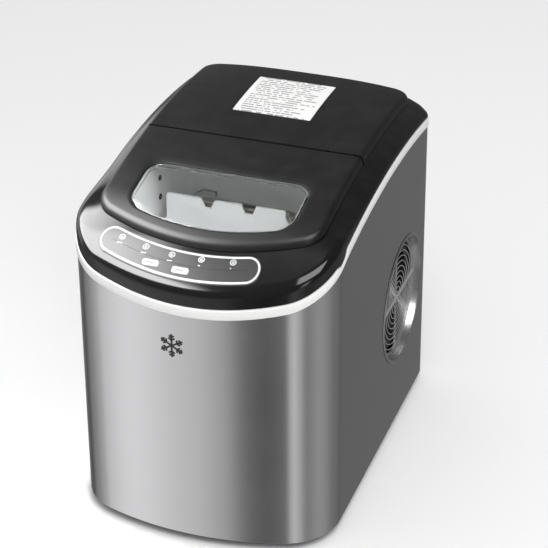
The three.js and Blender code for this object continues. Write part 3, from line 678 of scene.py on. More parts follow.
def effect_tree(
    name: str, inputs: dict[str, float], outputs: Sequence[str]
) -> tuple[NodeTree, Graph, dict[str, NodeSocket], Node]:
    """Empty effect group with named sockets.

    Args:
        name: Name of the group.
        inputs: Number inputs and their usual values.
        outputs: Names of the number outputs.

    Returns:
        The tree, its graph, its inputs by name, and its output node.
    """
    tree = bpy.data.node_groups.new(name, "ShaderNodeTree")
    for label, value in inputs.items():
        socket = tree.interface.new_socket(label, in_out="INPUT", socket_type="NodeSocketFloat")
        socket.default_value = value
    for label in outputs:
        tree.interface.new_socket(label, in_out="OUTPUT", socket_type="NodeSocketFloat")
    graph = Graph(tree)
    entry = graph.add("NodeGroupInput")
    return tree, graph, {s.name: s for s in entry.outputs if s.name}, graph.add("NodeGroupOutput")


@cache
def brush_lines() -> NodeTree:
    """Fine level scratches of brushed sheet, with a slow drift of tone."""
    tree, graph, given, out = effect_tree("brush lines", {"Density": 1600, "Along": 6}, ["Tone", "Height"])
    fine = graph.noise(graph.stretched(given["Along"], given["Along"], given["Density"]), 1.0, 2.0)
    slow = graph.noise(graph.stretched(1.5, 1.5, 38.0), 1.0, 2.0)
    tone = graph.math("ADD", graph.product(fine, 0.65), graph.product(slow, 0.35))
    graph.feed(out.inputs["Tone"], tone)
    graph.feed(out.inputs["Height"], fine)
    return tree


@cache
def fine_grain() -> NodeTree:
    """Even grain of moulded or cast surfaces."""
    tree, graph, given, out = effect_tree("fine grain", {"Scale": 900}, ["Tone", "Height"])
    place = graph.stretched(1.0, 1.0, 1.0)
    coarse = graph.noise(place, graph.product(given["Scale"], 0.21), 3.0)
    graph.feed(out.inputs["Tone"], coarse)
    graph.feed(out.inputs["Height"], graph.noise(place, given["Scale"], 2.0))
    return tree


@cache
def dust_film() -> NodeTree:
    """Light dust that settles on faces that look up."""
    tree, graph, given, out = effect_tree("dust film", {"Amount": 0.1, "Scale": 60}, ["Mask"])
    facing = graph.add("ShaderNodeSeparateXYZ")
    graph.feed(facing.inputs[0], graph.add("ShaderNodeNewGeometry").outputs["Normal"])
    upward = graph.spread(facing.outputs[2], 0.35, 1.0)
    patches = graph.spread(graph.noise(graph.stretched(1.0, 1.0, 1.0), given["Scale"], 6.0), 0.38, 0.72)
    graph.feed(out.inputs["Mask"], graph.product(upward, patches, given["Amount"]))
    return tree


@cache
def edge_wear() -> NodeTree:
    """Edges that handling has rubbed."""
    tree, graph, given, out = effect_tree("edge wear", {"Amount": 0.3, "Scale": 240}, ["Mask"])
    sharp = graph.spread(graph.add("ShaderNodeNewGeometry").outputs["Pointiness"], 0.51, 0.58)
    broken = graph.spread(graph.noise(graph.stretched(1.0, 1.0, 1.0), given["Scale"], 4.0), 0.35, 0.65)
    graph.feed(out.inputs["Mask"], graph.product(sharp, broken, given["Amount"]))
    return tree


@cache
def wiped_haze() -> NodeTree:
    """Faint haze of a wiped glossy surface."""
    tree, graph, given, out = effect_tree("wiped haze", {"Amount": 0.1, "Scale": 14}, ["Mask"])
    place = graph.stretched(1.0, 0.45, 1.0)
    broad = graph.noise(place, given["Scale"], 4.0)
    fine = graph.noise(place, graph.product(given["Scale"], 9.0), 3.0)
    haze = graph.math("ADD", graph.product(broad, 0.7), graph.product(fine, 0.3))
    graph.feed(out.inputs["Mask"], graph.product(graph.spread(haze, 0.35, 0.7), given["Amount"]))
    return tree


@cache
def word_rows() -> NodeTree:
    """Rows of short printed dashes that stand for small print."""
    tree, graph, given, out = effect_tree(
        "word rows", {"Pitch": 0.005, "Word": 0.006, "Left": -0.03, "Right": 0.03}, ["Mask"]
    )
    place = graph.add("ShaderNodeSeparateXYZ")
    graph.feed(place.inputs[0], graph.stretched(1.0, 1.0, 1.0))
    row = graph.math("DIVIDE", place.outputs[1], given["Pitch"])
    inside = graph.math("COMPARE", graph.math("FRACT", row), 0.5, 0.2)
    cell = graph.add("ShaderNodeCombineXYZ")
    graph.feed(cell.inputs[0], graph.math("DIVIDE", place.outputs[0], given["Word"]))
    graph.feed(cell.inputs[1], graph.product(graph.math("FLOOR", row), 7.3))
    words = graph.math("GREATER_THAN", graph.noise(cell.outputs[0], 1.0, 1.0), 0.44)
    ends = graph.add("ShaderNodeTexWhiteNoise", noise_dimensions="1D")
    graph.feed(ends.inputs["W"], graph.math("FLOOR", row))
    reach = graph.math("SUBTRACT", given["Right"], graph.product(ends.outputs["Value"], 0.018))
    after = graph.math("GREATER_THAN", place.outputs[0], given["Left"])
    before = graph.math("LESS_THAN", place.outputs[0], reach)
    graph.feed(out.inputs["Mask"], graph.product(inside, words, graph.product(after, before)))
    return tree


# ---- Finishes ------------------------------------------------------------------------------


@dataclass(frozen=True)
class Finish:
    """A material: its plain values, and the detail that its subclass adds."""

    name: str
    slot: Optional[Slot]
    colour: Colour
    roughness: float
    metallic: float = 0.0
    specular: float = 0.5
    coat: float = 0.0
    grain_scale: float = 900.0
    grain_depth: float = 0.01
    tone: float = 0.06
    # glow: strength at which the base colour is also emitted; above 0 on a part that is no lamp it is painted
    # light.
    glow: float = 0.0
    rough_drift: float = 0.06
    dust: float = 0.0
    wear: float = 0.0
    worn_colour: Colour = (0.5, 0.5, 0.5)
    dust_colour: Colour = (0.62, 0.61, 0.58)

    def build(self) -> Material:
        """The material, made once and then shared."""
        made = bpy.data.materials.get(self.name)
        if made:
            return made
        material = bpy.data.materials.new(self.name)
        graph = fresh_graph(material)
        shader = graph.add("ShaderNodeBsdfPrincipled")
        shader.inputs["Metallic"].default_value = self.metallic
        shader.inputs["Specular IOR Level"].default_value = self.specular
        shader.inputs["Coat Weight"].default_value = self.coat
        output = graph.add("ShaderNodeOutputMaterial")
        self.dress(graph, shader)
        graph.feed(output.inputs["Surface"], self.surface(graph, shader))
        return material

    def surface(self, graph: Graph, shader: Node) -> NodeSocket:
        """Shader that the material puts out."""
        return shader.outputs[0]

    def shaded(self, graph: Graph, tone: Socket, base: Optional[Colour] = None) -> NodeSocket:
        """Base colour varied from darker to lighter by a tone between 0 and 1.

        Args:
            graph: Graph of the material.
            tone: Tone between 0 and 1.
            base: Colour to vary, or the finish's own.

        Returns:
            The colour's socket.
        """
        colour = base or self.colour
        darker = tuple(c * (1 - self.tone) for c in colour) + (1.0,)
        lighter = tuple(min(1.0, c * (1 + self.tone)) for c in colour) + (1.0,)
        return graph.mix(tone, darker, lighter)

    def relief(self, graph: Graph, shader: Node, height: NodeSocket, strength: float) -> None:
        """Bumps the surface by a height.

        Args:
            graph: Graph of the material.
            shader: Shader that is bumped.
            height: Height over the surface.
            strength: Strength of the bump.
        """
        bump = graph.add("ShaderNodeBump")
        bump.inputs["Strength"].default_value = strength
        bump.inputs["Distance"].default_value = MM
        graph.feed(bump.inputs["Height"], height)
        graph.feed(shader.inputs["Normal"], bump.outputs[0])

    def weathered(self, graph: Graph, colour: NodeSocket) -> NodeSocket:
        """Colour with edge wear and dust over it, where the finish has them."""
        if self.wear > 0:
            mask = graph.effect(edge_wear, amount=self.wear).outputs["Mask"]
            colour = graph.mix(mask, colour, self.worn_colour + (1.0,))
        if self.dust > 0:
            mask = graph.effect(dust_film, amount=self.dust).outputs["Mask"]
            colour = graph.mix(mask, colour, self.dust_colour + (1.0,))
        return colour

    def dress(self, graph: Graph, shader: Node) -> None:
        """Grain, drifting roughness, relief and any painted glow of a moulded or cast surface."""
        grain = graph.effect(fine_grain, scale=self.grain_scale)
        colour = self.weathered(graph, self.shaded(graph, grain.outputs["Tone"]))
        graph.feed(shader.inputs["Base Color"], colour)
        # Painted glow: the base colour is also emitted, a painted light on a part that is no lamp.
        if self.glow > 0:
            graph.feed(shader.inputs["Emission Color"], colour)
            shader.inputs["Emission Strength"].default_value = self.glow
        haze = graph.effect(wiped_haze, amount=self.rough_drift)
        graph.feed(
            shader.inputs["Roughness"], graph.math("ADD", self.roughness, haze.outputs["Mask"], clamp=True)
        )
        self.relief(graph, shader, grain.outputs["Height"], self.grain_depth)


@dataclass(frozen=True)
class BrushedSheet(Finish):
    """Brushed metal sheet with fine level lines."""

    density: float = 1700.0
    along: float = 7.0

    def dress(self, graph: Graph, shader: Node) -> None:
        """Lines in tone, roughness and relief."""
        lines = graph.effect(brush_lines, density=self.density, along=self.along)
        graph.feed(
            shader.inputs["Base Color"], self.weathered(graph, self.shaded(graph, lines.outputs["Tone"]))
        )
        haze = graph.effect(wiped_haze, amount=self.rough_drift, scale=9.0)
        streak = graph.product(lines.outputs["Tone"], self.rough_drift)
        rough = graph.math("ADD", graph.math("ADD", self.roughness, streak), haze.outputs["Mask"], clamp=True)
        graph.feed(shader.inputs["Roughness"], rough)
        self.relief(graph, shader, lines.outputs["Height"], self.grain_depth)


@dataclass(frozen=True)
class PrintedPaper(Finish):
    """Label stock with rows of dashes."""

    ink: Colour = (0.32, 0.32, 0.33)
    pitch: float = 0.0044
    word: float = 0.0034
    left: float = -0.032
    right: float = 0.034

    def dress(self, graph: Graph, shader: Node) -> None:
        """Rows of print over paper grain."""
        grain = graph.effect(fine_grain, scale=self.grain_scale)
        rows = graph.effect(word_rows, pitch=self.pitch, word=self.word, left=self.left, right=self.right)
        paper = self.shaded(graph, grain.outputs["Tone"])
        graph.feed(shader.inputs["Base Color"], graph.mix(rows.outputs["Mask"], paper, self.ink + (1.0,)))
        rough = graph.product(rows.outputs["Mask"], -0.15)
        graph.feed(shader.inputs["Roughness"], graph.math("ADD", self.roughness, rough))
        self.relief(graph, shader, grain.outputs["Height"], self.grain_depth)


@dataclass(frozen=True)
class ClearMoulding(Finish):
    """Clear plastic that lets the lamps through."""

    refraction: float = 1.45

    def dress(self, graph: Graph, shader: Node) -> None:
        """Plain transmission with a faint haze and relief."""
        shader.inputs["Transmission Weight"].default_value = 1.0
        shader.inputs["IOR"].default_value = self.refraction
        grain = graph.effect(fine_grain, scale=self.grain_scale)
        graph.feed(shader.inputs["Base Color"], self.shaded(graph, grain.outputs["Tone"]))
        haze = graph.effect(wiped_haze, amount=self.rough_drift, scale=22.0)
        graph.feed(shader.inputs["Roughness"], graph.math("ADD", self.roughness, haze.outputs["Mask"]))
        self.relief(graph, shader, grain.outputs["Height"], self.grain_depth)

    def surface(self, graph: Graph, shader: Node) -> NodeSocket:
        """Glass that casts no shadow."""
        clear = graph.add("ShaderNodeBsdfTransparent")
        path = graph.add("ShaderNodeLightPath")
        blend = graph.add("ShaderNodeMixShader")
        graph.feed(blend.inputs[0], path.outputs["Is Shadow Ray"])
        graph.feed(blend.inputs[1], shader.outputs[0])
        graph.feed(blend.inputs[2], clear.outputs[0])
        return blend.outputs[0]


@dataclass(frozen=True)
class CircuitBoard(Finish):
    """Solder mask with faint tracks."""

    track_colour: Colour = (0.09, 0.3, 0.14)

    def dress(self, graph: Graph, shader: Node) -> None:
        """Tracks in colour and relief."""
        place = graph.stretched(1.0, 1.0, 1.0)
        brick = graph.add("ShaderNodeTexBrick")
        graph.feed(brick.inputs["Vector"], place)
        graph.feed(brick.inputs["Scale"], 130.0)
        tracks = graph.spread(brick.outputs["Fac"], 0.2, 0.8)
        graph.feed(
            shader.inputs["Base Color"], graph.mix(tracks, self.colour + (1.0,), self.track_colour + (1.0,))
        )
        graph.feed(shader.inputs["Roughness"], graph.math("ADD", self.roughness, graph.product(tracks, 0.1)))
        self.relief(graph, shader, tracks, self.grain_depth)


STEEL = BrushedSheet(
    "brushed_stainless", Slot.STEEL, (0.60, 0.60, 0.61), 0.17, 1.0, grain_depth=0.012, tone=0.035,
    rough_drift=0.035,
)
DISH_STEEL = BrushedSheet(
    "pressed_stainless", Slot.STEEL, (0.58, 0.58, 0.59), 0.26, 1.0, grain_depth=0.004, tone=0.02,
    rough_drift=0.03,
)
SCREW_STEEL = BrushedSheet(
    "zinc_screw", Slot.STEEL, (0.55, 0.56, 0.58), 0.28, 1.0, density=2600, along=2600, grain_depth=0.01
)
GLOSS = Finish(
    "gloss_black_moulding", Slot.BLACK_GLOSS, (0.0062, 0.0062, 0.0066), 0.085, grain_scale=1500,
    grain_depth=0.003, tone=0.25, rough_drift=0.05, dust=0.008,
)
SATIN = Finish(
    "satin_black_moulding", Slot.BLACK_GLOSS, (0.0070, 0.0070, 0.0075), 0.34, grain_scale=1400,
    grain_depth=0.012, tone=0.25, rough_drift=0.05, dust=0.01,
)
MATT = Finish(
    "textured_black_moulding", Slot.BLACK_MATT, (0.018, 0.018, 0.019), 0.55, grain_scale=1100,
    grain_depth=0.10, tone=0.2, dust=0.10, wear=0.10, worn_colour=(0.12, 0.12, 0.12),
)
INK = Finish(
    "black_ink", Slot.BLACK_MATT, (0.008, 0.008, 0.009), 0.35, grain_scale=1600, grain_depth=0.01, tone=0.2
)
WHITE = Finish(
    "white_moulding", Slot.WHITE_PLASTIC, (0.80, 0.80, 0.79), 0.32, grain_scale=1300, grain_depth=0.012,
    tone=0.02, dust=0.02, wear=0.05, worn_colour=(0.6, 0.6, 0.58),
)
# The tank white carries a faint painted glow (emission 0.02) that brightens the inside seen through the
# window: painted light, not a lamp.
TANK_WHITE_PAINTED_GLOW = Finish(
    "tank_white_painted_glow", Slot.WHITE_PLASTIC, (0.84, 0.85, 0.85), 0.30, grain_scale=1000, grain_depth=0.012,
    tone=0.03, glow=0.02,
)
BUTTON_WHITE = Finish(
    "white_button", Slot.WHITE_PLASTIC, (0.83, 0.83, 0.83), 0.25, grain_scale=1500, grain_depth=0.008,
    tone=0.02,
)
PRINT_WHITE = Finish(
    "white_print", Slot.SILVER_FILM, (0.86, 0.86, 0.86), 0.4, grain_scale=1800, grain_depth=0.01, tone=0.02
)
PRINT_GREY = Finish(
    "grey_print", Slot.WHITE_PLASTIC, (0.22, 0.22, 0.23), 0.4, grain_scale=1800, grain_depth=0.01, tone=0.04
)
FILM = Finish(
    "silver_panel_film", Slot.SILVER_FILM, (0.050, 0.050, 0.052), 0.22, grain_scale=1900, grain_depth=0.006,
    tone=0.05, rough_drift=0.03,
)
PANE = ClearMoulding(
    "clear_lid_pane", Slot.CLEAR_PLASTIC, (0.97, 0.98, 0.98), 0.015, grain_scale=500, grain_depth=0.004,
    tone=0.01, rough_drift=0.02,
)
HOSE = ClearMoulding(
    "clear_hose", Slot.CLEAR_PLASTIC, (0.90, 0.92, 0.92), 0.12, grain_scale=600, grain_depth=0.02, tone=0.03
)
LENS = Finish(
    "lamp_lens", Slot.LAMP, (0.55, 0.60, 0.56), 0.16, coat=0.4, grain_scale=900, grain_depth=0.004, tone=0.05
)
PAPER = PrintedPaper(
    "label_paper", Slot.PAPER, (0.90, 0.90, 0.89), 0.6, grain_scale=1500, grain_depth=0.015, tone=0.015
)
RUBBER = Finish(
    "black_rubber", Slot.RUBBER, (0.02, 0.02, 0.02), 0.78, grain_scale=800, grain_depth=0.12, tone=0.2,
    dust=0.15,
)
FOAM = Finish("cream_foam", Slot.FOAM, (0.72, 0.66, 0.50), 0.9, grain_scale=420, grain_depth=0.5, tone=0.12)
BOARD = CircuitBoard("green_board", Slot.CIRCUIT_BOARD, (0.03, 0.16, 0.07), 0.4, grain_depth=0.05)
COPPER = BrushedSheet(
    "drawn_copper", Slot.COPPER, (0.80, 0.42, 0.27), 0.28, 1.0, density=300, along=900, grain_depth=0.02,
    tone=0.12, wear=0.2, worn_colour=(0.85, 0.55, 0.4),
)
NICKEL = BrushedSheet(
    "nickel_plate", Slot.COPPER, (0.66, 0.64, 0.60), 0.22, 1.0, density=700, along=700, grain_depth=0.01,
    tone=0.05,
)
ALUMINIUM = BrushedSheet(
    "mill_aluminium", Slot.ALUMINIUM, (0.68, 0.69, 0.70), 0.36, 1.0, density=900, along=40, grain_depth=0.02,
    tone=0.06,
)
CAN_PAINT = Finish(
    "black_can_paint", Slot.PAINTED_STEEL, (0.012, 0.012, 0.013), 0.33, grain_scale=500, grain_depth=0.06,
    tone=0.2, dust=0.12, wear=0.2, worn_colour=(0.2, 0.2, 0.2),
)
WIRE_GREY = Finish(
    "grey_wire_coating", Slot.BLACK_MATT, (0.42, 0.42, 0.43), 0.30, 0.4, grain_scale=900, grain_depth=0.02,
    tone=0.08,
)


# ---- Workshop ------------------------------------------------------------------------------


class Workshop:
    """Turns meshes into pieces that ride on a body, and reports them."""

    SHARP = math.radians(34)

    def __init__(self) -> None:
        """Starts with an empty list of pieces."""
        self.pieces: list[Object] = []

    def mesh(self, name: str, bm: BMesh) -> Object:
        """Blender object of a closed surface given in millimetres.

        Args:
            name: Name of the object.
            bm: Surface, which is used up.

        Returns:
            The object, not yet placed.
        """
        bmesh.ops.scale(bm, vec=(MM, MM, MM), verts=bm.verts)
        bmesh.ops.recalc_face_normals(bm, faces=bm.faces)
        mesh = bpy.data.meshes.new(name)
        bm.to_mesh(mesh)
        bm.free()
        shape = bpy.data.objects.new(name, mesh)
        bpy.context.scene.collection.objects.link(shape)
        return shape

    def carve(self, shape: Object, cutters: Sequence[BMesh]) -> Object:
        """Cuts closed surfaces away from an object.

        Args:
            shape: Object that is cut.
            cutters: Closed surfaces in millimetres.

        Returns:
            The same object with its new mesh.
        """
        tool = self.mesh("cutter", joined(cutters))
        modifier = shape.modifiers.new("cut", "BOOLEAN")
        modifier.operation = "DIFFERENCE"
        modifier.solver = "EXACT"
        modifier.use_self = True
        modifier.object = tool
        graph = bpy.context.evaluated_depsgraph_get()
        cut = bpy.data.meshes.new_from_object(shape.evaluated_get(graph))
        shape.modifiers.clear()
        shape.data = cut
        bpy.data.objects.remove(tool)
        return shape

    def shade(self, shape: Object) -> None:
        """Smooths the faces and keeps the sharp edges sharp."""
        bm = bmesh.new()
        bm.from_mesh(shape.data)
        for face in bm.faces:
            face.smooth = True
        for edge in bm.edges:
            edge.smooth = edge.calc_face_angle(0) < self.SHARP
        bm.to_mesh(shape.data)
        bm.free()

    def place(
        self,
        shape: Object,
        finish: Finish,
        body: Body,
        replaces: Sequence[str] = (),
        soften: float = 0.0,
    ) -> Object:
        """Dresses a piece and hands it to its body.

        Args:
            shape: Finished shape.
            finish: Material of the piece.
            body: Body that the piece rides on.
            replaces: CAD nodes that the piece stands for.
            soften: Width in millimetres of a bevel along the sharp edges.

        Returns:
            The piece.
        """
        shape.data.materials.clear()
        shape.data.materials.append(finish.build())
        if soften > 0:
            bevel = shape.modifiers.new("softened edges", "BEVEL")
            bevel.width = soften * MM
            bevel.segments = 2
            bevel.limit_method = "ANGLE"
            bevel.angle_limit = self.SHARP
            bevel.harden_normals = True
        self.shade(shape)
        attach(shape, body.value)
        if replaces:
            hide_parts(*replaces)
        self.pieces.append(shape)
        LOG.info("%s rides on %s", shape.name, body.value)
        return shape

    def make(
        self,
        name: str,
        bm: BMesh,
        finish: Finish,
        body: Body = Body.CABINET,
        replaces: Sequence[str] = (),
        soften: float = 0.0,
    ) -> Object:
        """Piece straight from a closed surface, with the arguments of place()."""
        return self.place(self.mesh(name, bm), finish, body, replaces, soften)


def node_box(node: str) -> tuple[Vector, Vector]:
    """Lowest and highest corners of a CAD node, in millimetres."""
    low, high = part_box(node)
    return low / MM, high / MM


def node_axis(node: str) -> Vector:
    """Point at depth zero on the fore-and-aft axis of a CAD node, in millimetres."""
    low, high = node_box(node)
    middle = (low + high) / 2
    return Vector((middle.x, 0, middle.z))


def lofted(levels: Sequence[tuple[Sequence[Point], Height]], ring: bool = True) -> BMesh:
    """Closed surface over (outline, height function) pairs."""
    return skin([lift(points, height) for points, height in levels], ring)


# ---- Cabinet -------------------------------------------------------------------------------


@dataclass
class Cabinet:
    """Steel wrap, white band, rear panel, feet and the fittings on them."""

    shop: Workshop
    sheet: float = 0.8
    strip_out: float = 1.0
    strip_in: float = 2.2
    strip_top: float = 8.8
    strip_edge: float = 0.7
    tab_top: float = 4.0
    tab_from: float = -118.0
    tab_widen: float = 9.0
    tab_to: float = -94.0
    tab_step: float = 4.0
    vent_hole: float = 61.0
    gland_hole: float = 9.3
    drain_hole: float = 7.3
    slot_half: float = 36.5
    slot_height: float = 4.4
    slot_first: float = 98.5
    slot_pitch: float = 14.0
    slot_rows: int = 8
    slot_columns: tuple[float, float] = (-52.0, 52.0)

    def band_top(self, offset: float) -> Height:
        """Height of the white band's top edge, which drops under the cover's side tabs.

        Args:
            offset: Height above the band's top edge.

        Returns:
            The height function.
        """

        def height(x: float, y: float) -> float:
            """Height of the edge at one place."""
            rise = self.strip_top - self.tab_top
            front = min(max((self.tab_from + self.tab_widen - y) / self.tab_widen, 0.0), 1.0)
            rear = min(max((y - self.tab_to + self.tab_step) / self.tab_step, 0.0), 1.0)
            return CROWN.at(y) + self.tab_top + rise * max(front, rear) + offset

        return height

    def wrap(self) -> None:
        """Brushed sheet round the front and sides with a hemmed lower edge."""
        hem = 0.5
        levels = [
            (hem, level(BASE_Z)),
            (0.0, level(BASE_Z + hem)),
            (0.0, CROWN.above(0)),
            (self.sheet, CROWN.above(0)),
            (self.sheet, level(BASE_Z)),
        ]
        loops = [lift(BODY.open_rear(inset), height) for inset, height in levels]
        shape = self.shop.mesh("steel_wrap", skin(loops, wrap=False))
        hole = drill(self.vent_hole, THROUGH_SIDE, Axis.X, Vent(self.shop).centre, 128)
        self.shop.place(self.shop.carve(shape, [hole]), STEEL, Body.CABINET, ["housing_wrap"])

    def band(self) -> None:
        """White band with rounded edges."""
        out, back, edge = -self.strip_out, self.strip_in, self.strip_edge
        levels = [
            (out + edge, CROWN.above(GAP)),
            (out + edge * 0.3, CROWN.above(GAP + edge * 0.3)),
            (out, CROWN.above(GAP + edge)),
            (out, self.band_top(-edge)),
            (out + edge * 0.3, self.band_top(-edge * 0.3)),
            (out + edge, self.band_top(0)),
            (back, self.band_top(0)),
            (back, CROWN.above(GAP)),
        ]
        bm = lofted([(BODY.outline(inset), height) for inset, height in levels])
        self.shop.make("white_band", bm, WHITE, replaces=["trim_strip"])

    def rear_panel(self) -> None:
        """Rear panel with hooded louvres and the two round openings."""
        low, high = node_box("rear_panel")
        width, tall = high.x - low.x, high.z - low.z
        upright = Matrix.Translation((0, high.y, (low.z + high.z) / 2)) @ Matrix.Rotation(QUARTER, 4, "X")
        shape = self.shop.mesh(
            "rear_louvre_panel", plate(box_outline(width, tall, 3), 0, high.y - low.y, upright)
        )
        cutters, hoods = [], []
        slot = box_outline(2 * self.slot_half, self.slot_height, self.slot_height / 2 - 0.05, 8)
        for x in self.slot_columns:
            for row in range(self.slot_rows):
                z = self.slot_first + row * self.slot_pitch
                turn = Matrix.Rotation(QUARTER, 4, "X")
                cutters.append(plate(slot, -6, 6, Matrix.Translation((x, high.y, z)) @ turn))
                hoods.append(self.hood(x, z + self.slot_height / 2, high.y))
        for node, radius in (("cord_gland", self.gland_hole), ("drain_spout", self.drain_hole)):
            cutters.append(drill(radius, THROUGH_REAR, Axis.Y, node_axis(node), 48))
        self.shop.place(self.shop.carve(shape, cutters), MATT, Body.CABINET, ["rear_panel"], soften=0.35)
        self.shop.make("louvre_hoods", joined(hoods), MATT)

    def hood(self, x: float, z: float, y: float) -> BMesh:
        """Curved lip above one louvre.

        Args:
            x: Middle of the louvre.
            z: Height of its upper edge.
            y: Depth of the panel's outer side.

        Returns:
            The lip in millimetres.
        """
        depth, fall, thick, overlap = 2.6, 3.2, 0.8, 1.2
        curve = [(depth * math.sin(a), fall * (1 - math.cos(a))) for a in angles(0, QUARTER, 8)]
        outer = [(y + r, z + 2 * thick - d) for r, d in curve]
        inner = [(y + max(r - thick, -0.2), z + thick - d) for r, d in reversed(curve)]
        section = outer + inner
        half = self.slot_half + overlap
        ends = [[Vector((x + side * half, a, b)) for a, b in section] for side in (-1, 1)]
        return skin(ends, ring=False)

    def feet(self) -> None:
        """Four rubber feet with a ribbed side."""
        for row in ("front", "rear"):
            for side in ("left", "right"):
                node = f"foot_{row}_{side}"
                low, high = node_box(node)
                middle = (low + high) / 2
                radius, tall = (high.x - low.x) / 2, high.z - low.z
                ribs = [(radius - 0.5 * (i % 2), 2.0 + i * (tall - 2.4) / 6) for i in range(7)]
                profile = [
                    (0, 0), (radius - 3.0, 0), (radius - 2.0, 0.3), (radius - 0.5, 1.2), *ribs,
                    (radius, tall), (0, tall),
                ]
                bm = revolved(profile, Axis.Z, Vector((middle.x, middle.y, 0)), 48)
                self.shop.make(f"rubber_{node}", bm, RUBBER, replaces=[node])

    def screws(self) -> None:
        """Pan-head screws with a cross recess."""
        for number in range(1, 5):
            node = f"rear_screw_{number}"
            low, high = node_box(node)
            radius, rise, axis = (high.x - low.x) / 2, high.y - low.y, node_axis(node)
            dome = [(radius * math.cos(a), low.y + rise * math.sin(a)) for a in angles(0, QUARTER, 8)]
            shape = self.shop.mesh(f"pan_screw_{number}", revolved([(0, low.y), *dome], Axis.Y, axis, 40))
            arm, blade, bottom, past = radius * 0.55, 0.4, high.y - 1.1, high.y + 1
            cross = [
                bar(Vector((axis.x - a, bottom, axis.z - b)), Vector((axis.x + a, past, axis.z + b)), 0)
                for a, b in ((arm, blade), (blade, arm))
            ]
            self.shop.place(self.shop.carve(shape, cross), SCREW_STEEL, Body.CABINET, [node])

    def gland(self) -> None:
        """Ribbed cord gland with an open bore."""
        low, high = node_box("cord_gland")
        ribs = [(7.6 - 0.8 * (i % 2) - 0.12 * i, 168.8 + i * (high.y - 169.0) / 5) for i in range(5)]
        profile = [
            (4, low.y), (7, low.y), (7, 162), (9, 163), (9, 166.3), (11.4, 166.3), (12, 166.9), (12, 167.9),
            (11.4, 168.5), (8.2, 168.6), *ribs, (6.4, high.y), (4, high.y),
        ]
        bm = revolved(profile, Axis.Y, node_axis("cord_gland"), 56)
        self.shop.make("ribbed_cord_gland", bm, RUBBER, replaces=["cord_gland"])

    def drain(self) -> None:
        """Drain spout and its pull-out cap with a finger grip."""
        low, high = node_box("drain_spout")
        place = node_axis("drain_spout")
        spout = [
            (3.4, low.y), (5, low.y), (5, 162), (7, 163.2), (7, 166.4), (6.7, high.y - 0.3), (6.3, high.y),
            (3.4, high.y),
        ]
        self.shop.make("drain_outlet", revolved(spout, Axis.Y, place, 48), WHITE, replaces=["drain_spout"])
        low, high = node_box("drain_cap")
        head = high.x - place.x
        cap = [
            (0, low.y), (2.5, low.y), (2.9, low.y + 0.6), (2.9, 167.9), (head - 0.5, 167.9), (head, 168.5),
            (head, 169.4), (head - 0.5, 170.0), (4.4, 170.1), (4.0, 170.5), (4.0, high.y - 0.3),
            (3.6, high.y), (0, high.y),
        ]
        self.shop.make(
            "drain_plug_cap", revolved(cap, Axis.Y, place, 56), RUBBER, Body.DRAIN_CAP, ["drain_cap"]
        )

    def mark(self) -> None:
        """Snowflake mark that follows the front's curve."""
        low, high = node_box("front_mark")
        middle_x, middle_z = (low.x + high.x) / 2, (low.z + high.z) / 2
        arm, half, proud = (high.z - low.z) / 2 - 0.4, 0.95, 0.25
        strokes: list[tuple[Point, Point]] = []
        for i in range(6):
            angle = math.radians(60 * i + 30)
            along = Vector((math.cos(angle), math.sin(angle)))
            strokes.append(((0, 0), tuple(along * arm)))
            for share, length in ((0.48, 0.30), (0.72, 0.24)):
                root = along * arm * share
                for turn in (-1, 1):
                    twig = Vector(
                        (math.cos(angle + turn * math.radians(55)), math.sin(angle + turn * math.radians(55)))
                    )
                    strokes.append((tuple(root), tuple(root + twig * arm * length)))
        bars = []
        for (x0, z0), (x1, z1) in strokes:
            start, end = Vector((x0, z0)), Vector((x1, z1))
            along = (end - start).normalized()
            across = Vector((-along.y, along.x)) * half * 0.85
            count = 8
            loops = []
            for i in range(count + 1):
                p = start.lerp(end, i / count)
                corners = []
                for side, out in ((1, proud), (-1, proud), (-1, 0.1), (1, 0.1)):
                    x, z = middle_x + p.x + across.x * side, middle_z + p.y + across.y * side
                    corners.append(Vector((x, BODY.front_y(x, out), z)))
                loops.append(corners)
            bars.append(skin(loops, ring=False))
        self.shop.make("snowflake_mark", joined(bars), INK, replaces=["front_mark"])

    def build(self) -> None:
        """All pieces of the cabinet."""
        self.wrap()
        self.band()
        self.rear_panel()
        self.feet()
        self.screws()
        self.gland()
        self.drain()
        self.mark()


# ---- Top -----------------------------------------------------------------------------------


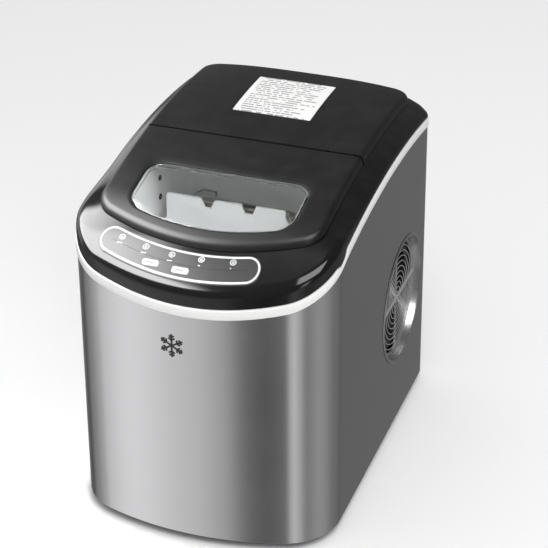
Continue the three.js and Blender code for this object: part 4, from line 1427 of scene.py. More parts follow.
@dataclass
class Top:
    """Black cover, rear deck, hinged lid and its window."""

    shop: Workshop
    cover_gap: float = 0.8
    cover_top: float = 25.0
    wall: float = 2.5
    shoulder_from: float = 18.0
    shoulder_in: float = 8.5
    ridge_foot: float = 25.4
    ridge_in: float = 5.5
    seam_rear: float = HINGE_Y + 3.1
    barrel: float = 2.5
    barrel_reach: float = 95.7
    bore: float = 1.4
    bore_from: float = 84.0
    saddle_from: Point = (-99.4, 96.3)
    saddle_wide: float = 3.1
    saddle_bore: float = 1.42
    pane_drop: float = 0.6
    pane_edge: float = 1.3
    pane_gap: float = 0.4
    flange: float = 4.0

    def cover(self) -> None:
        """Frame of the top: wall, rounded shoulder and the ledge around the opening."""
        band = Cabinet(self.shop)
        shoulder = rounded((0, self.shoulder_from), (self.shoulder_in, self.cover_top), 12)
        ledge = [0.12, 0.3, 0.55, 0.8]
        edge, hole = BODY.outline(self.shoulder_in), OPENING.outline()
        top, under = CROWN.ledge(self.cover_top), CROWN.ledge(self.cover_top - self.wall)
        levels = [
            (BODY.outline(0.5), band.band_top(self.cover_gap)),
            (BODY.outline(0), band.band_top(self.cover_gap + 0.4)),
            *[(BODY.outline(inset), CROWN.ledge(z)) for inset, z in shoulder],
            *[(between(edge, hole, share), top) for share in ledge],
            (hole, top),
            (hole, under),
            (edge, under),
            (BODY.outline(3.6), CROWN.ledge(20.6)),
            (BODY.outline(self.wall), CROWN.ledge(self.shoulder_from + 1.4)),
            (BODY.outline(self.wall), band.band_top(self.cover_gap)),
        ]
        self.shop.make("cover_frame", lofted(levels), GLOSS, replaces=["top_cover"])

    def axis_z(self) -> float:
        """Height of the hinge's axis."""
        return CROWN.at(HINGE_Y) + CROWN.panel_top - self.barrel - 0.1

    def saddles(self) -> None:
        """Two saddles on the cover that the hinge pins lie in."""
        foot, axis = CROWN.at(HINGE_Y) + self.cover_top - self.wall + 0.1, self.axis_z()
        front, rear, top = HINGE_Y + 0.2, HINGE_Y + 2.8, axis - 0.1
        blocks = [
            bar(Vector((x, front, foot)), Vector((x + self.saddle_wide, rear, top)), 0.3)
            for x in self.saddle_from
        ]
        shape = self.shop.make("hinge_ears", joined(blocks), GLOSS)
        pin = drill(self.saddle_bore, (-104, 104), Axis.X, Vector((0, HINGE_Y, axis)))
        self.shop.carve(shape, [pin])

    def raised(self, plan: Plan) -> list[tuple[list[Point], Height]]:
        """Levels of a raised panel's rounded ridge, from its foot to its top.

        Args:
            plan: Plan of the panel.

        Returns:
            The (outline, height) pairs.
        """
        foot, top = CROWN.ledge(self.ridge_foot + 0.2), CROWN.panel(0)
        steps = rounded((0, 0), (self.ridge_in, 1), 12)
        return [(plan.outline(inset), self.mixed(foot, top, share)) for inset, share in steps]

    def mixed(self, low: Height, high: Height, share: float) -> Height:
        """Height function part of the way between two."""
        return lambda x, y: low(x, y) * (1 - share) + high(x, y) * share

    def trimmed(self, bm: BMesh, y: float, keep_front: bool) -> BMesh:
        """Cuts a closed surface with an upright plane and closes it again.

        Args:
            bm: Surface in millimetres.
            y: Depth of the plane.
            keep_front: True if the part in front of the plane stays.

        Returns:
            The part that stays.
        """
        geometry = [*bm.verts, *bm.edges, *bm.faces]
        away = {"clear_outer": keep_front, "clear_inner": not keep_front}
        cut = bmesh.ops.bisect_plane(bm, geom=geometry, plane_co=(0, y, 0), plane_no=(0, 1, 0), **away)
        rim = [e for e in cut["geom_cut"] if isinstance(e, BMEdge)]
        bmesh.ops.edgenet_fill(bm, edges=rim)
        return bm

    def deck(self) -> None:
        """Fixed raised panel behind the lid."""
        edge = DECK.outline(self.ridge_in)
        top, under = CROWN.panel(0), CROWN.panel(-self.wall)
        shares = [0.94, 0.8, 0.6, 0.4, 0.2, 0.0]
        levels = [
            *self.raised(DECK),
            *[(shrunk(edge, share), top) for share in shares],
            *[(shrunk(edge, share), under) for share in reversed(shares)],
            (DECK.outline(self.ridge_in + 0.6), under),
            (DECK.outline(3), CROWN.ledge(self.ridge_foot)),
        ]
        bm = self.trimmed(lofted(levels), self.seam_rear, keep_front=False)
        self.shop.make("deck_shell", bm, SATIN, replaces=["rear_deck"], soften=0.4)

    def lid(self) -> None:
        """Hinged frame around the window, with the hinge barrel at its rear edge."""
        edge, hole = LID.outline(self.ridge_in), WINDOW.outline()
        lip = [
            (WINDOW.outline(-1.0), CROWN.panel(0)),
            (WINDOW.outline(-0.3), CROWN.panel(-0.3)),
            (hole, CROWN.panel(-1.0)),
        ]
        top, under = CROWN.panel(0), CROWN.panel(-self.wall)
        shares = [0.15, 0.4, 0.65, 0.85]
        levels = [
            *self.raised(LID),
            *[(between(edge, WINDOW.outline(-1.0), share), top) for share in shares],
            *lip,
            (hole, under),
            (between(edge, hole, 0.5), under),
            (LID.outline(self.ridge_in + 0.6), under),
            (LID.outline(3), CROWN.ledge(self.ridge_foot)),
        ]
        bm = self.trimmed(lofted(levels), HINGE_Y - 0.2, keep_front=True)
        self.shop.make("lid_shell", bm, SATIN, Body.LID, ["lid_frame"], soften=0.4)
        reach, edge = self.barrel_reach, 0.3
        half = [
            (self.bore, self.bore_from),
            (self.bore, reach),
            (self.barrel - edge, reach),
            (self.barrel, reach - edge),
        ]
        profile = [
            (0, -self.bore_from), *[(radius, -x) for radius, x in half], *reversed(half), (0, self.bore_from)
        ]
        bm = revolved(profile, Axis.X, Vector((0, HINGE_Y, self.axis_z())), 40)
        self.shop.make("hinge_barrel", bm, SATIN, Body.LID)

    def pane(self) -> None:
        """Clear window with a rounded rim and a flange under the lid."""
        gap, drop = self.pane_gap, self.pane_drop
        rim = rounded((gap, -drop - self.pane_edge), (gap + self.pane_edge, -drop), 5)
        inner = gap + self.pane_edge
        edge, deep = WINDOW.outline(inner), WINDOW.outline(2.7)
        top, under = CROWN.panel(-drop), CROWN.panel(-self.wall - 1.4)
        shares = [0.9, 0.6, 0.3, 0.0]
        levels = [
            (WINDOW.outline(-self.flange), CROWN.panel(-self.wall - 2.6)),
            (WINDOW.outline(-self.flange), CROWN.panel(-self.wall - GAP)),
            (WINDOW.outline(gap), CROWN.panel(-self.wall - GAP)),
            *[(WINDOW.outline(inset), CROWN.panel(z)) for inset, z in rim],
            *[(shrunk(edge, share), top) for share in shares],
            *[(shrunk(deep, share), under) for share in reversed(shares)],
            (deep, under),
            (WINDOW.outline(2.7), CROWN.panel(-self.wall - 2.6)),
        ]
        self.shop.make("window_pane", lofted(levels), PANE, Body.LID, ["lid_window"])

    def label(self) -> None:
        """Paper label that follows the deck."""
        low, high = node_box("deck_label")
        middle = (low + high) / 2
        edge = [(middle.x + x, middle.y + y) for x, y in box_outline(high.x - low.x, high.y - low.y, 1.0, 8)]
        dense = []
        for a, b in zip(edge, edge[1:] + edge[:1]):
            far = abs(a[0] - b[0]) + abs(a[1] - b[1]) > 5
            dense += line(a, b, 10 if far else 1)
        shares = [1.0, 0.97, 0.85, 0.7, 0.55, 0.4, 0.25, 0.1, 0.0]

        def inward(share: float) -> list[Point]:
            """Label outline shrunk to its own middle."""
            return [(middle.x + (x - middle.x) * share, middle.y + (y - middle.y) * share) for x, y in dense]

        levels = [
            *[(inward(s), CROWN.panel(0.22)) for s in shares],
            *[(inward(s), CROWN.panel(0.02)) for s in reversed(shares)],
        ]
        self.shop.make("paper_label", lofted(levels), PAPER, replaces=["deck_label"])

    def build(self) -> None:
        """All pieces of the top."""
        self.cover()
        self.saddles()
        self.deck()
        self.lid()
        self.pane()
        self.label()


# ---- Control panel -------------------------------------------------------------------------


@dataclass
class ControlPanel:
    """Film with its border and print, two buttons and five lamps on the front slope."""

    shop: Workshop
    middle_radius: float = 251.5
    half_height: float = 12.2
    start: float = -17.8
    end: float = 11.2
    surface: float = 25.0
    film: float = 0.5
    border_in: float = 0.9
    border_wide: float = 1.7
    ring_radius: float = 2.9
    lamp_radius: float = 1.7
    lamps: int = 5
    dashes: tuple[float, ...] = (5.6, 5.0, 4.6, 2.2, 1.2)
    button: tuple[float, float, float] = (15.5, 6.6, 2.2)
    button_hole: tuple[float, float, float] = (16.3, 7.4, 2.3)

    def kidney(self, inset: float) -> list[Point]:
        """Outline of the panel: two arcs about the front arc's centre, with round ends.

        Args:
            inset: Distance inwards from the edge.

        Returns:
            The points.
        """
        big_y = BODY.front + BODY.front_radius
        down = -QUARTER
        start, end = math.radians(self.start), math.radians(self.end)
        half = self.half_height - inset
        radius = self.middle_radius
        tip = [(radius * math.sin(a), big_y - radius * math.cos(a)) for a in (start, end)]
        return [
            *arc(0, big_y, radius + half, down + start, down + end, 60),
            *arc(*tip[1], half, down + end, -down + end, 20),
            *arc(0, big_y, radius - half, down + end, down + start, 60),
            *arc(*tip[0], half, -down + start, -3 * down + start, 20),
        ]

    def placed(self, x: float, y: float) -> Matrix:
        """Placement on the slope, tilted with it.

        Args:
            x: Place across.
            y: Place along.

        Returns:
            The placement.
        """
        tilt = math.atan(CROWN.slope(y))
        return Matrix.Translation((x, y, CROWN.at(y) + self.surface)) @ Matrix.Rotation(tilt, 4, "X")

    def lamp_places(self) -> list[Point]:
        """Middles of the lamps from their CAD nodes."""
        boxes = [node_box(f"indicator_lamp_{i + 1}") for i in range(self.lamps)]
        return [((low.x + high.x) / 2, (low.y + high.y) / 2) for low, high in boxes]

    def button_place(self, node: str) -> Point:
        """Middle of a button's top from its CAD node.

        Args:
            node: CAD node of the button.

        Returns:
            Its place across and along.
        """
        low, high = node_box(node)
        y = (low.y + high.y) / 2
        slant = math.sin(math.atan(CROWN.slope(y)))
        return (low.x + high.x) / 2, y - slant * 1.65

    def film_sheet(self) -> None:
        """Film with openings for the buttons and the lamps."""
        high, low = CROWN.above(self.surface + GAP + self.film), CROWN.above(self.surface + 0.05)
        insets = [0.25, 1.5, 3.0, 5.0, 7.0, 9.0, 11.0, 12.1]
        levels = [
            (self.kidney(0), CROWN.above(self.surface + GAP + self.film - 0.25)),
            *[(self.kidney(inset), high) for inset in insets],
            *[(self.kidney(inset), low) for inset in reversed(insets)],
            (self.kidney(0), low),
        ]
        shape = self.shop.mesh("panel_film", lofted(levels))
        cutters = [
            plate(box_outline(*self.button_hole), -5, 5, self.placed(*self.button_place(node)))
            for node in ("power_button", "select_button")
        ]
        self.shop.place(self.shop.carve(shape, cutters), FILM, Body.CABINET, ["control_film"])

    def border(self) -> None:
        """White line printed round the film."""
        inner = self.border_in + self.border_wide
        low, high = self.surface + GAP + self.film - 0.02, self.surface + GAP + self.film + 0.10
        levels = [
            (self.kidney(self.border_in), CROWN.above(low)),
            (self.kidney(self.border_in), CROWN.above(high)),
            (self.kidney(inner), CROWN.above(high)),
            (self.kidney(inner), CROWN.above(low)),
        ]
        self.shop.make("film_border", lofted(levels), PRINT_WHITE)

    def print_marks(self) -> None:
        """Ring round each lamp and a short dash below it."""
        base = GAP + self.film - 0.02
        parts = []
        for number, (x, y) in enumerate(self.lamp_places()):
            matrix = self.placed(x, y)
            outer, inner = self.ring_radius, self.ring_radius - 0.75
            ring = revolved(
                [(inner, base), (outer, base), (outer, base + 0.1), (inner, base + 0.1)],
                Axis.Z,
                Vector((0, 0, 0)),
                36,
            )
            bmesh.ops.transform(ring, matrix=matrix, verts=ring.verts)
            parts.append(ring)
            dash = box_outline(self.dashes[number], 1.1, 0.5, 3)
            parts.append(plate(dash, base, base + 0.1, self.placed(x - 0.6, y - 5.2)))
        self.shop.make("film_marks", joined(parts), PRINT_WHITE)

    def buttons(self) -> None:
        """Two white caps with rounded edges and a small grey mark."""
        for node, name, body in (
            ("power_button", "power_key", Body.POWER_BUTTON),
            ("select_button", "select_key", Body.SELECT_BUTTON),
        ):
            matrix = self.placed(*self.button_place(node))
            width, depth, corner = self.button
            profile = [
                (0.0, -4.8), (0.0, 1.1), (0.12, 1.4), (0.35, 1.58), (0.7, 1.68), (1.6, 1.74), (3.1, 1.76)
            ]
            loops = []
            for inset, z in profile:
                outline = box_outline(width - 2 * inset, depth - 2 * inset, max(corner - inset, 0.15), 8)
                loops.append([matrix @ Vector((x, y, z)) for x, y in outline])
            self.shop.make(name, skin(loops, ring=False), BUTTON_WHITE, body, [node])
            dash = plate(box_outline(6.0, 0.9, 0.4, 3), 1.74, 1.80, matrix)
            self.shop.make(f"{name}_mark", dash, PRINT_GREY, body)

    def lamp_lenses(self) -> None:
        """Domed lamp lenses."""
        for number, (x, y) in enumerate(self.lamp_places()):
            r = self.lamp_radius
            dome = [(r * math.cos(a), 0.55 + 0.5 * math.sin(a)) for a in angles(0, QUARTER, 6)]
            bm = revolved([(0, -3.8), (r, -3.8), *dome], Axis.Z, Vector((0, 0, 0)), 32)
            bmesh.ops.transform(bm, matrix=self.placed(x, y), verts=bm.verts)
            self.shop.make(f"lamp_lens_{number + 1}", bm, LENS, replaces=[f"indicator_lamp_{number + 1}"])

    def build(self) -> None:
        """All pieces of the control panel."""
        self.film_sheet()
        self.border()
        self.print_marks()
        self.buttons()
        self.lamp_lenses()


# ---- Side vent -----------------------------------------------------------------------------


@dataclass
class Vent:
    """Dished ring in the right side and the ringed grille at its bottom."""

    shop: Workshop
    centre: Vector = field(default_factory=lambda: Vector((0, 84, 136)))
    lip: float = 63.5
    mouth: float = 56.6
    floor_x: float = 113.0
    face_x: float = 121.9
    rings: int = 11
    ring_first: float = 5.5
    ring_last: float = 56.0
    wire: float = 0.42
    cross_reach: float = 55.4
    upright_half: float = 0.8
    level_half: float = 2.2

    def dish(self) -> None:
        """Pressed dish with a rolled lip."""
        slope = rounded((60.8, self.face_x), (self.mouth, self.floor_x), 14)
        roll = [(61.4, 122.0), (62.4, 121.95), (63.1, 121.7), (self.lip, 121.3)]
        back = self.floor_x - 0.8
        floor = [(self.mouth - 1, self.floor_x), (self.mouth - 1, back), (self.mouth + 0.6, back)]
        profile = [*reversed(roll), *slope, *floor, (59.6, 119.6), (59.9, 121.2)]
        bm = revolved(profile, Axis.X, self.centre, 144)
        self.shop.make("pressed_dish", bm, DISH_STEEL, replaces=["vent_dish"])

    def grille(self) -> None:
        """Wire rings on a cross."""
        low, high = node_box("vent_grille")
        middle = (low.x + high.x) / 2
        pitch = (self.ring_last - self.ring_first) / (self.rings - 1)
        place = Vector((high.x + self.wire, self.centre.y, self.centre.z))
        parts = [ring_tube(self.ring_first + i * pitch, self.wire, Axis.X, place) for i in range(self.rings)]
        reach, y, z = self.cross_reach, self.centre.y, self.centre.z
        for x0, x1, across, up in (
            (low.x, high.x, self.upright_half, reach),
            (middle, high.x + 0.6, reach, self.level_half),
        ):
            parts.append(bar(Vector((x0, y - across, z - up)), Vector((x1, y + across, z + up)), 0.3))
        self.shop.make("wire_grille", joined(parts), WIRE_GREY, replaces=["vent_grille"])

    def build(self) -> None:
        """All pieces of the vent."""
        self.dish()
        self.grille()


# ---- Ice works -----------------------------------------------------------------------------


@dataclass
class IceWorks:
    """Tank, basket, comb plate, tray, evaporator and sensors."""

    shop: Workshop
    wall: float = 2.5
    floor: float = 70.0
    fillet: float = 9.0
    tabs: tuple[tuple[float, float], ...] = ((-71.0, -36.5), (-25.5, 2.0), (14.0, 43.0))
    notch: float = 8.0
    flare: float = 2.4
    basket_floor: float = 128.0
    basket_rim: float = 212.0
    scoop_from: float = -68.0
    scoop_fall: float = 1.25
    comb_axis: Point = (-28.0, 240.0)
    tray_axis: Point = (22.0, 205.0)
    eyes: tuple[Point, Point] = ((-22.0, 266.0), (-22.0, 284.0))
    tube_hole: tuple[float, float, float] = (5.0, 60.0, 238.0)

    def tank(self) -> None:
        """White tank with a filleted floor, basket rails and a flange under the cover."""
        outer = rounded((self.fillet, self.floor), (0, self.floor + self.fillet), 6, flat_first=True)
        inner = rounded(
            (self.wall, self.floor + 3 + self.fillet), (self.wall + self.fillet, self.floor + 3), 6
        )
        rim, flange = CROWN.above(22.2), CROWN.above(19.6)
        levels = [
            *[(TANK.outline(inset), level(z)) for inset, z in outer],
            (TANK.outline(0), flange),
            (TANK.outline(-8), flange),
            (TANK.outline(-8), rim),
            (TANK.outline(self.wall - 0.8), rim),
            (TANK.outline(self.wall), CROWN.above(21.4)),
            *[(TANK.outline(inset), level(z)) for inset, z in inner],
            (shrunk(TANK.outline(self.wall + self.fillet), 0), level(self.floor + 3)),
            (shrunk(TANK.outline(self.fillet), 0), level(self.floor)),
        ]
        liner = self.shop.make("tank_liner", lofted(levels), TANK_WHITE_PAINTED_GLOW, replaces=["inner_tank"])
        across = [(3.9, self.tray_axis), (3.4, self.comb_axis), *[(2.8, eye) for eye in self.eyes]]
        sides = ((-100.0, -76.0), (76.0, 100.0))
        holes = [drill(radius, span, Axis.X, Vector((0, *spot))) for radius, spot in across for span in sides]
        radius, x, z = self.tube_hole
        holes.append(drill(radius, (30, 64), Axis.Y, Vector((x, 0, z))))
        self.shop.carve(liner, holes)
        rails = [bar(Vector((x0, -104, 122)), Vector((x0 + 12.4, -40, 127.7)), 1.0) for x0 in (68, -80.4)]
        self.shop.make("basket_rails", joined(rails), TANK_WHITE_PAINTED_GLOW)

    def basket(self) -> None:
        """Slotted basket with a rolled rim and two finger tabs."""
        floor, rim, wall = self.basket_floor, self.basket_rim, 2.0

        def edge(drop: float) -> Height:
            """Height of the rim, which falls rearwards to clear the comb plate."""
            return lambda x, y: rim - drop - self.scoop_fall * max(0.0, y - self.scoop_from)

        levels = [
            *[
                (BASKET_PLAN.outline(i), level(z))
                for i, z in rounded((7, floor), (0, floor + 7), 6, flat_first=True)
            ],
            (BASKET_PLAN.outline(0), edge(0.6)),
            (BASKET_PLAN.outline(0.5), edge(0)),
            (BASKET_PLAN.outline(wall - 0.5), edge(0)),
            (BASKET_PLAN.outline(wall), edge(0.6)),
            *[
                (BASKET_PLAN.outline(i), level(z))
                for i, z in rounded((wall, floor + wall + 6), (wall + 6, floor + wall), 6)
            ],
            (shrunk(BASKET_PLAN.outline(wall + 6), 0), level(floor + wall)),
            (shrunk(BASKET_PLAN.outline(7), 0), level(floor)),
        ]
        shape = self.shop.mesh("slotted_basket", lofted(levels))
        cutters = []
        below, before = box_outline(4, 46, 1.95, 6), box_outline(4.5, 44, 2.2, 6)
        for i in range(9):
            cutters.append(plate(below, floor - 5, floor + 5, Matrix.Translation(((i - 4) * 14, -75, 0))))
        for i in range(8):
            turn = Matrix.Translation(((i - 3.5) * 15, -116, 176)) @ Matrix.Rotation(QUARTER, 4, "X")
            cutters.append(plate(before, -14, 14, turn))
        self.shop.place(self.shop.carve(shape, cutters), TANK_WHITE_PAINTED_GLOW, Body.BASKET, ["ice_basket"])
        tabs = [
            bar(Vector((x0, -94, rim - 4)), Vector((x1, -70, rim)), 1.2) for x0, x1 in ((71, 76), (-76, -71))
        ]
        self.shop.make("basket_tabs", joined(tabs), TANK_WHITE_PAINTED_GLOW, Body.BASKET)

    def comb(self) -> None:
        """Comb plate with three rounded tabs on a round axle."""
        low, high = node_box("ice_shovel")
        (y, z), top = self.comb_axis, high.z
        points: list[Point] = [(self.tabs[0][0], z), (self.tabs[-1][1], z)]
        for left, right in reversed(self.tabs):
            for corner_x, side in ((right, 1), (left, -1)):
                radius = 2.5
                first = 0 if side == 1 else QUARTER
                turns = arc(corner_x - side * radius, top - radius, radius, first, first + QUARTER, 6)
                foot = corner_x + side * self.flare
                if side == 1:
                    points += [(foot, top - self.notch)] if right != self.tabs[-1][1] else []
                    points += turns
                else:
                    points += [*turns, (corner_x, top - radius)]
                    points += [(foot, top - self.notch)] if left != self.tabs[0][0] else []
        upright = Matrix.Translation((0, y, 0)) @ Matrix.Rotation(QUARTER, 4, "X")
        parts = [plate(points, -1.2, 1.2, upright, 0.35)]
        axle = [(0, low.x), (2.6, low.x), (3, low.x + 0.4), (3, high.x - 0.4), (2.6, high.x), (0, high.x)]
        parts.append(revolved(axle, Axis.X, Vector((0, y, z)), 32))
        for x in (-60, -14, 32):
            rib = [(-1.2, 0), (-5.5, 0), (-1.2, 22)]
            turn = Matrix.Translation((x, y, z + 3)) @ Matrix(
                ((0, 0, 1, 0), (-1, 0, 0, 0), (0, 1, 0, 0), (0, 0, 0, 1))
            )
            parts.append(plate(rib, -0.9, 0.9, turn, 0.2))
        self.shop.make("comb_plate", joined(parts), TANK_WHITE_PAINTED_GLOW, Body.SHOVEL, ["ice_shovel"])

    def tray(self) -> None:
        """Half-round trough on two stub axles."""
        (y, z), radius, wall, left, right = self.tray_axis, 24.0, 2.0, -70.0, 44.0
        start, end = math.pi + 0.26, 2 * math.pi - 0.26
        outer = [(y + radius * math.cos(a), z + radius * math.sin(a)) for a in angles(start, end, 28)]
        hollow = radius - wall
        inner = [(y + hollow * math.cos(a), z + hollow * math.sin(a)) for a in angles(end, start, 28)]
        section = outer + inner
        loops = [[Vector((x, a, b)) for a, b in section] for x in (left, left + 0.4, right - 0.4, right)]
        parts = [skin(loops, ring=False)]
        for x0, x1 in ((left, left + wall), (right - wall, right)):
            ends = [[Vector((x, a, b)) for a, b in outer] for x in (x0, x1)]
            parts.append(skin(ends, ring=False))
        for x0, x1 in ((-82.0, left + 1), (right - 1, 84.0)):
            parts.append(
                revolved(
                    [(0, x0), (3.3, x0), (3.5, x0 + 0.3), (3.5, x1), (0, x1)], Axis.X, Vector((0, y, z)), 28
                )
            )
            near = left if x0 < 0 else right - wall
            parts.append(bar(Vector((near, y - 7, z - 12)), Vector((near + wall, y + 7, z + 5)), 0.6))
        self.shop.make("water_trough", joined(parts), TANK_WHITE_PAINTED_GLOW, Body.TRAY, ["water_tray"])

    def cooling_fingers(self) -> None:
        """U-shaped tube with domed freezing fingers."""
        z, front, rear, tip = 238.0, 14.0, 30.0, 192.0
        route = [
            (36, front, z), (-30, front, z), (-62, front, z), (-70, 22, z), (-62, rear, z), (-30, rear, z),
            (30, rear, z), (54, rear + 1, z), (60, 38, z), (60, 46, z),
        ]
        parts = [swept([Vector(p) for p in route], 4.0)]
        for places, y in (((-2, -1, 0, 1, 2), front), ((-1.5, -0.5, 0.5, 1.5), rear)):
            for i in places:
                thin, thick = 4.4, 5.4
                dome = [(thin * math.cos(a), tip + thin - thin * math.sin(a)) for a in angles(0, QUARTER, 6)]
                profile = [(0, z), (thick, z), (thick, z - 7), (thin, z - 8), *dome]
                parts.append(revolved(profile, Axis.Z, Vector((-13 + i * 24, y, 0)), 28))
        self.shop.make("freezing_fingers", joined(parts), NICKEL, replaces=["evaporator"])

    def sensors(self) -> None:
        """Holders outside the tank wall with two lenses through it."""
        for side, name in ((-1, "left"), (1, "right")):
            low, high = node_box(f"ice_sensor_{name}")
            inner = low.x if side == 1 else high.x
            outer = high.x if side == 1 else low.x
            wall = inner + side * 2.3
            x0, x1 = sorted((wall, outer))
            parts = [bar(Vector((x0, low.y, low.z)), Vector((x1, high.y, high.z)), 0.8)]
            near, far = sorted((inner, outer))
            lens = [(0, near), (2.3, near), (2.5, near + 0.3), (2.5, far), (0, far)]
            for eye in self.eyes:
                parts.append(revolved(lens, Axis.X, Vector((0, *eye)), 24))
            self.shop.make(f"sensor_eye_{name}", joined(parts), INK, replaces=[f"ice_sensor_{name}"])

    def build(self) -> None:
        """All pieces of the ice works."""
        self.tank()
        self.basket()
        self.comb()
        self.tray()
        self.cooling_fingers()
        self.sensors()


# ---- Machinery -----------------------------------------------------------------------------


@dataclass
class Machinery:
    """CAD pieces whose shape is right and that only need their finish."""

    kept: tuple[tuple[Finish, tuple[str, ...]], ...] = (
        (MATT, ("base_pan", "water_pump", "vent_fan", "compressor_relay")),
        (SCREW_STEEL, ("hinge_pin_left", "hinge_pin_right")),
        (BOARD, ("control_board", "power_board")),
        (FOAM, ("tank_foam",)),
        (ALUMINIUM, ("tray_motor", "condenser")),
        (HOSE, ("water_hose",)),
        # The fan shroud takes the black can paint so that the space behind the side grille reads dark:
        # painted shade for the shade inside the cabinet.
        (CAN_PAINT, ("fan_shroud", "fan_motor", "compressor")),
        (RUBBER, ("compressor_grommet_1", "compressor_grommet_2", "compressor_grommet_3")),
        (COPPER, ("filter_drier", "suction_tube", "discharge_tube")),
    )

    def build(self) -> None:
        """Gives each kept CAD node its finish."""
        for finish, nodes in self.kept:
            for node in nodes:
                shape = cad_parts[node]
                shape.data.materials.clear()
                shape.data.materials.append(finish.build())
                LOG.info("%s keeps its shape in %s", node, finish.name)


# ---- Studio --------------------------------------------------------------------------------


@dataclass(frozen=True)
class SoftBox:
    """Soft box in the glossy surroundings: headings in degrees, heights as upward parts."""

    middle: float
    half: float
    low: float
    high: float
    power: float

    def glow(self, graph: Graph, turn: NodeSocket, rise: NodeSocket) -> NodeSocket:
        """Light of the box in each direction.

        Args:
            graph: World graph.
            turn: Heading as a share of a full turn.
            rise: Upward part of the direction.

        Returns:
            The light between 0 and the box's power.
        """
        away = graph.math("ABSOLUTE", graph.math("SUBTRACT", turn, self.middle / 360 + 0.5))
        across = graph.spread(away, (self.half + 4) / 360, (self.half - 4) / 360)
        low, high = graph.spread(rise, self.low, self.low + 0.1), graph.spread(
            rise, self.high + 0.1, self.high
        )
        return graph.product(across, graph.product(low, high), self.power)


@dataclass(frozen=True)
class Patch:
    """Glowing part of the overhead panel: where it fades in across and along, and its share of the power."""

    across: Point
    along: Point
    share: float


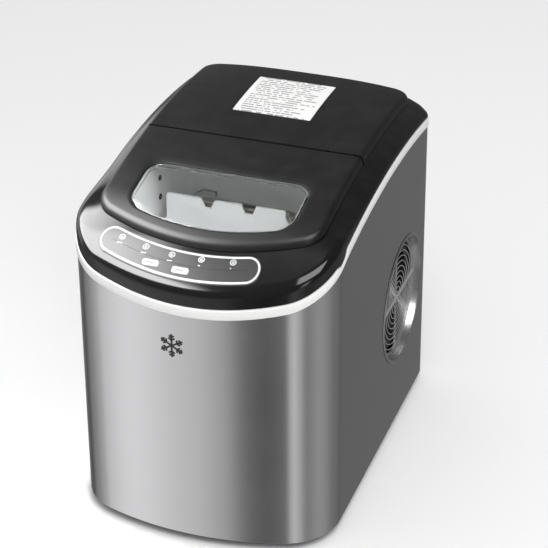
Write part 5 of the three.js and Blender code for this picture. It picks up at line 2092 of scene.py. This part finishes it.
@dataclass
class Studio:
    """Pale floor, soft light and the camera."""

    azimuth: float = 19.45
    elevation: float = 30.35
    distance: float = 2060.0
    pivot: Vector = field(default_factory=lambda: Vector((20.5, 0.0, 190.6)))
    aim_right: float = 0.7
    roll: float = -0.446
    lens: float = 146.6
    sensor: float = 36.0
    floor_half: float = 6.0
    dome: float = 0.70
    panel_height: float = 0.70
    panel_power: float = 17.0
    panel_x: Point = (-900, -60)
    panel_y: Point = (-700, 360)
    patches: tuple[Patch, Patch] = (
        Patch((-0.14, -0.24), (-0.07, -0.12), 1.0),
        Patch((-0.20, -0.28), (0.10, 0.01), 0.9),
    )
    boxes: tuple[SoftBox, SoftBox] = (SoftBox(-112, 34, -0.1, 0.36, 1.6), SoftBox(38, 6, 0.12, 0.4, 3.0))
    key_size: float = 1.4
    key_energy: float = 34.0
    key_place: Vector = field(default_factory=lambda: Vector((0.9, -1.2, 2.3)))
    key_target: Vector = field(default_factory=lambda: Vector((0, 0, 0.2)))
    white: float = 1.0
    bands: tuple[tuple[float, float], ...] = (
        (-180, 0.30), (-134, 0.20), (-120, 0.08), (-95, 0.32), (-70, 0.55), (-50, 1.10), (-20, 0.78),
        (-8, 0.58), (2, 0.18), (10, 0.11), (20, 0.20), (28, 0.60), (36, 0.80), (46, 0.58), (60, 0.30),
        (90, 0.42), (135, 0.22), (160, 0.14),
    )
    sky: tuple[tuple[float, float], ...] = (
        (-180, 0.15), (-150, 0.20), (-120, 0.60), (-60, 0.45), (-10, 0.20), (40, 0.12), (90, 0.08),
        (150, 0.12),
    )

    def world(self) -> None:
        """Even white light for matt surfaces, and a ring of soft boxes for shiny ones."""
        world = bpy.data.worlds.new("studio")
        bpy.context.scene.world = world
        graph = fresh_graph(world)
        place = graph.add("ShaderNodeSeparateXYZ")
        graph.feed(place.inputs[0], graph.add("ShaderNodeTexCoord").outputs["Generated"])
        heading = graph.math("ARCTAN2", place.outputs[0], graph.product(place.outputs[1], -1.0))
        turn = graph.math("ADD", graph.math("DIVIDE", heading, 2 * math.pi), 0.5)
        low, high = self.ramp(graph, turn, self.bands), self.ramp(graph, turn, self.sky)
        upward = graph.spread(place.outputs[2], -0.12, 0.2)
        glossy = graph.mix(upward, low, high)
        glow = graph.math("ADD", *[box.glow(graph, turn, place.outputs[2]) for box in self.boxes])
        path = graph.add("ShaderNodeLightPath")
        shiny = path.outputs["Is Glossy Ray"]
        base = graph.mix(shiny, (self.dome,) * 3 + (1.0,), glossy)
        seen = graph.mix(path.outputs["Is Camera Ray"], base, (self.white,) * 3 + (1.0,))
        background = graph.add("ShaderNodeBackground")
        graph.feed(background.inputs["Color"], seen)
        extra = graph.add("ShaderNodeBackground")
        graph.feed(extra.inputs["Strength"], graph.product(glow, shiny))
        total = graph.add("ShaderNodeAddShader")
        graph.feed(total.inputs[0], background.outputs[0])
        graph.feed(total.inputs[1], extra.outputs[0])
        output = graph.add("ShaderNodeOutputWorld")
        graph.feed(output.inputs["Surface"], total.outputs[0])

    def ramp(self, graph: Graph, turn: NodeSocket, stops: Sequence[tuple[float, float]]) -> NodeSocket:
        """Grey tone by heading, through stops of (degrees, radiance).

        Args:
            graph: World graph.
            turn: Heading as a share of a full turn.
            stops: Tones by heading in degrees.

        Returns:
            The tone's socket.
        """
        node = graph.add("ShaderNodeValToRGB")
        node.color_ramp.interpolation = "EASE"
        elements = node.color_ramp.elements
        closed = [*stops, (180, stops[0][1])]
        while len(elements) < len(closed):
            elements.new(1.0)
        for element, (degrees, tone) in zip(elements, closed):
            element.position = degrees / 360 + 0.5
            element.color = (tone, tone, tone, 1.0)
        graph.feed(node.inputs[0], turn)
        return node.outputs[0]

    def floor(self) -> None:
        """Wide pale floor that shiny pieces do not mirror."""
        half = self.floor_half / MM
        bm = bmesh.new()
        bm.faces.new(
            [bm.verts.new((x * half, y * half, -0.4)) for x, y in ((-1, -1), (1, -1), (1, 1), (-1, 1))]
        )
        shape = Workshop().mesh("studio_floor", bm)
        pale = Finish(
            "floor_paint", None, (0.93, 0.93, 0.93), 0.9, specular=0.0, grain_scale=40, grain_depth=0.0,
            tone=0.004,
        )
        shape.data.materials.append(pale.build())
        shape.visible_glossy = False

    def overhead(self) -> None:
        """Glowing panel above the front left that only shiny pieces mirror."""
        z = self.panel_height / MM
        bm = bmesh.new()
        (left, right), (front, rear) = self.panel_x, self.panel_y
        corners = ((left, front), (right, front), (right, rear), (left, rear))
        bm.faces.new([bm.verts.new((x, y, z)) for x, y in corners])
        bmesh.ops.subdivide_edges(bm, edges=bm.edges, cuts=4, use_grid_fill=True)
        shape = Workshop().mesh("studio_panel", bm)
        material = bpy.data.materials.new("panel_glow")
        graph = fresh_graph(material)
        place = graph.add("ShaderNodeSeparateXYZ")
        graph.feed(place.inputs[0], graph.add("ShaderNodeTexCoord").outputs["Object"])
        x, y = place.outputs[0], place.outputs[1]
        parts = [
            graph.product(graph.spread(x, *patch.across), graph.spread(y, *patch.along), patch.share)
            for patch in self.patches
        ]
        glow = graph.math("MAXIMUM", *parts)
        lamp = graph.add("ShaderNodeEmission")
        graph.feed(lamp.inputs["Strength"], graph.product(glow, self.panel_power))
        clear = graph.add("ShaderNodeBsdfTransparent")
        total = graph.add("ShaderNodeAddShader")
        graph.feed(total.inputs[0], lamp.outputs[0])
        graph.feed(total.inputs[1], clear.outputs[0])
        graph.feed(graph.add("ShaderNodeOutputMaterial").inputs["Surface"], total.outputs[0])
        shape.data.materials.append(material)
        for ray in ("camera", "diffuse", "shadow", "transmission"):
            setattr(shape, f"visible_{ray}", False)

    def key(self) -> None:
        """Large soft lamp at the front right that gives matt surfaces their shape."""
        lamp = bpy.data.lights.new("key_panel", "AREA")
        lamp.shape = "RECTANGLE"
        lamp.size, lamp.size_y = self.key_size, self.key_size
        lamp.energy = self.key_energy
        lamp.specular_factor = 0.0
        holder = bpy.data.objects.new("key_panel", lamp)
        holder.location = self.key_place
        holder.rotation_mode = "QUATERNION"
        holder.rotation_quaternion = (self.key_target - self.key_place).to_track_quat("-Z", "Y")
        bpy.context.scene.collection.objects.link(holder)

    def camera(self) -> None:
        """Camera at the viewing angle."""
        turn, rise = math.radians(self.azimuth), math.radians(self.elevation)
        back = Vector((math.sin(turn) * math.cos(rise), -math.cos(turn) * math.cos(rise), math.sin(rise)))
        right = Vector((math.cos(turn), math.sin(turn), 0))
        data = bpy.data.cameras.new("view_camera")
        data.lens, data.sensor_width = self.lens, self.sensor
        data.clip_start, data.clip_end = 0.05, 50
        camera = bpy.data.objects.new("view_camera", data)
        camera.rotation_mode = "QUATERNION"
        place = (self.pivot + back * self.distance) * MM
        target = (self.pivot + right * self.aim_right) * MM
        camera.location = place
        aim = (target - place).to_track_quat("-Z", "Y")
        camera.rotation_quaternion = aim @ Matrix.Rotation(math.radians(self.roll), 3, "Z").to_quaternion()
        bpy.context.scene.collection.objects.link(camera)
        bpy.context.scene.camera = camera

    def build(self) -> None:
        """Camera, light and floor."""
        bpy.context.scene.view_settings.view_transform = "Standard"
        self.camera()
        self.world()
        self.overhead()
        self.key()
        self.floor()


def main() -> None:
    """Builds the machine and its studio."""
    logging.basicConfig(level=logging.INFO, format="%(name)s: %(message)s")
    Studio().build()
    shop = Workshop()
    for group in (Cabinet(shop), Top(shop), ControlPanel(shop), Vent(shop), IceWorks(shop), Machinery()):
        group.build()
    LOG.info("%d pieces made", len(shop.pieces))


if __name__ == "__main__":
    main()
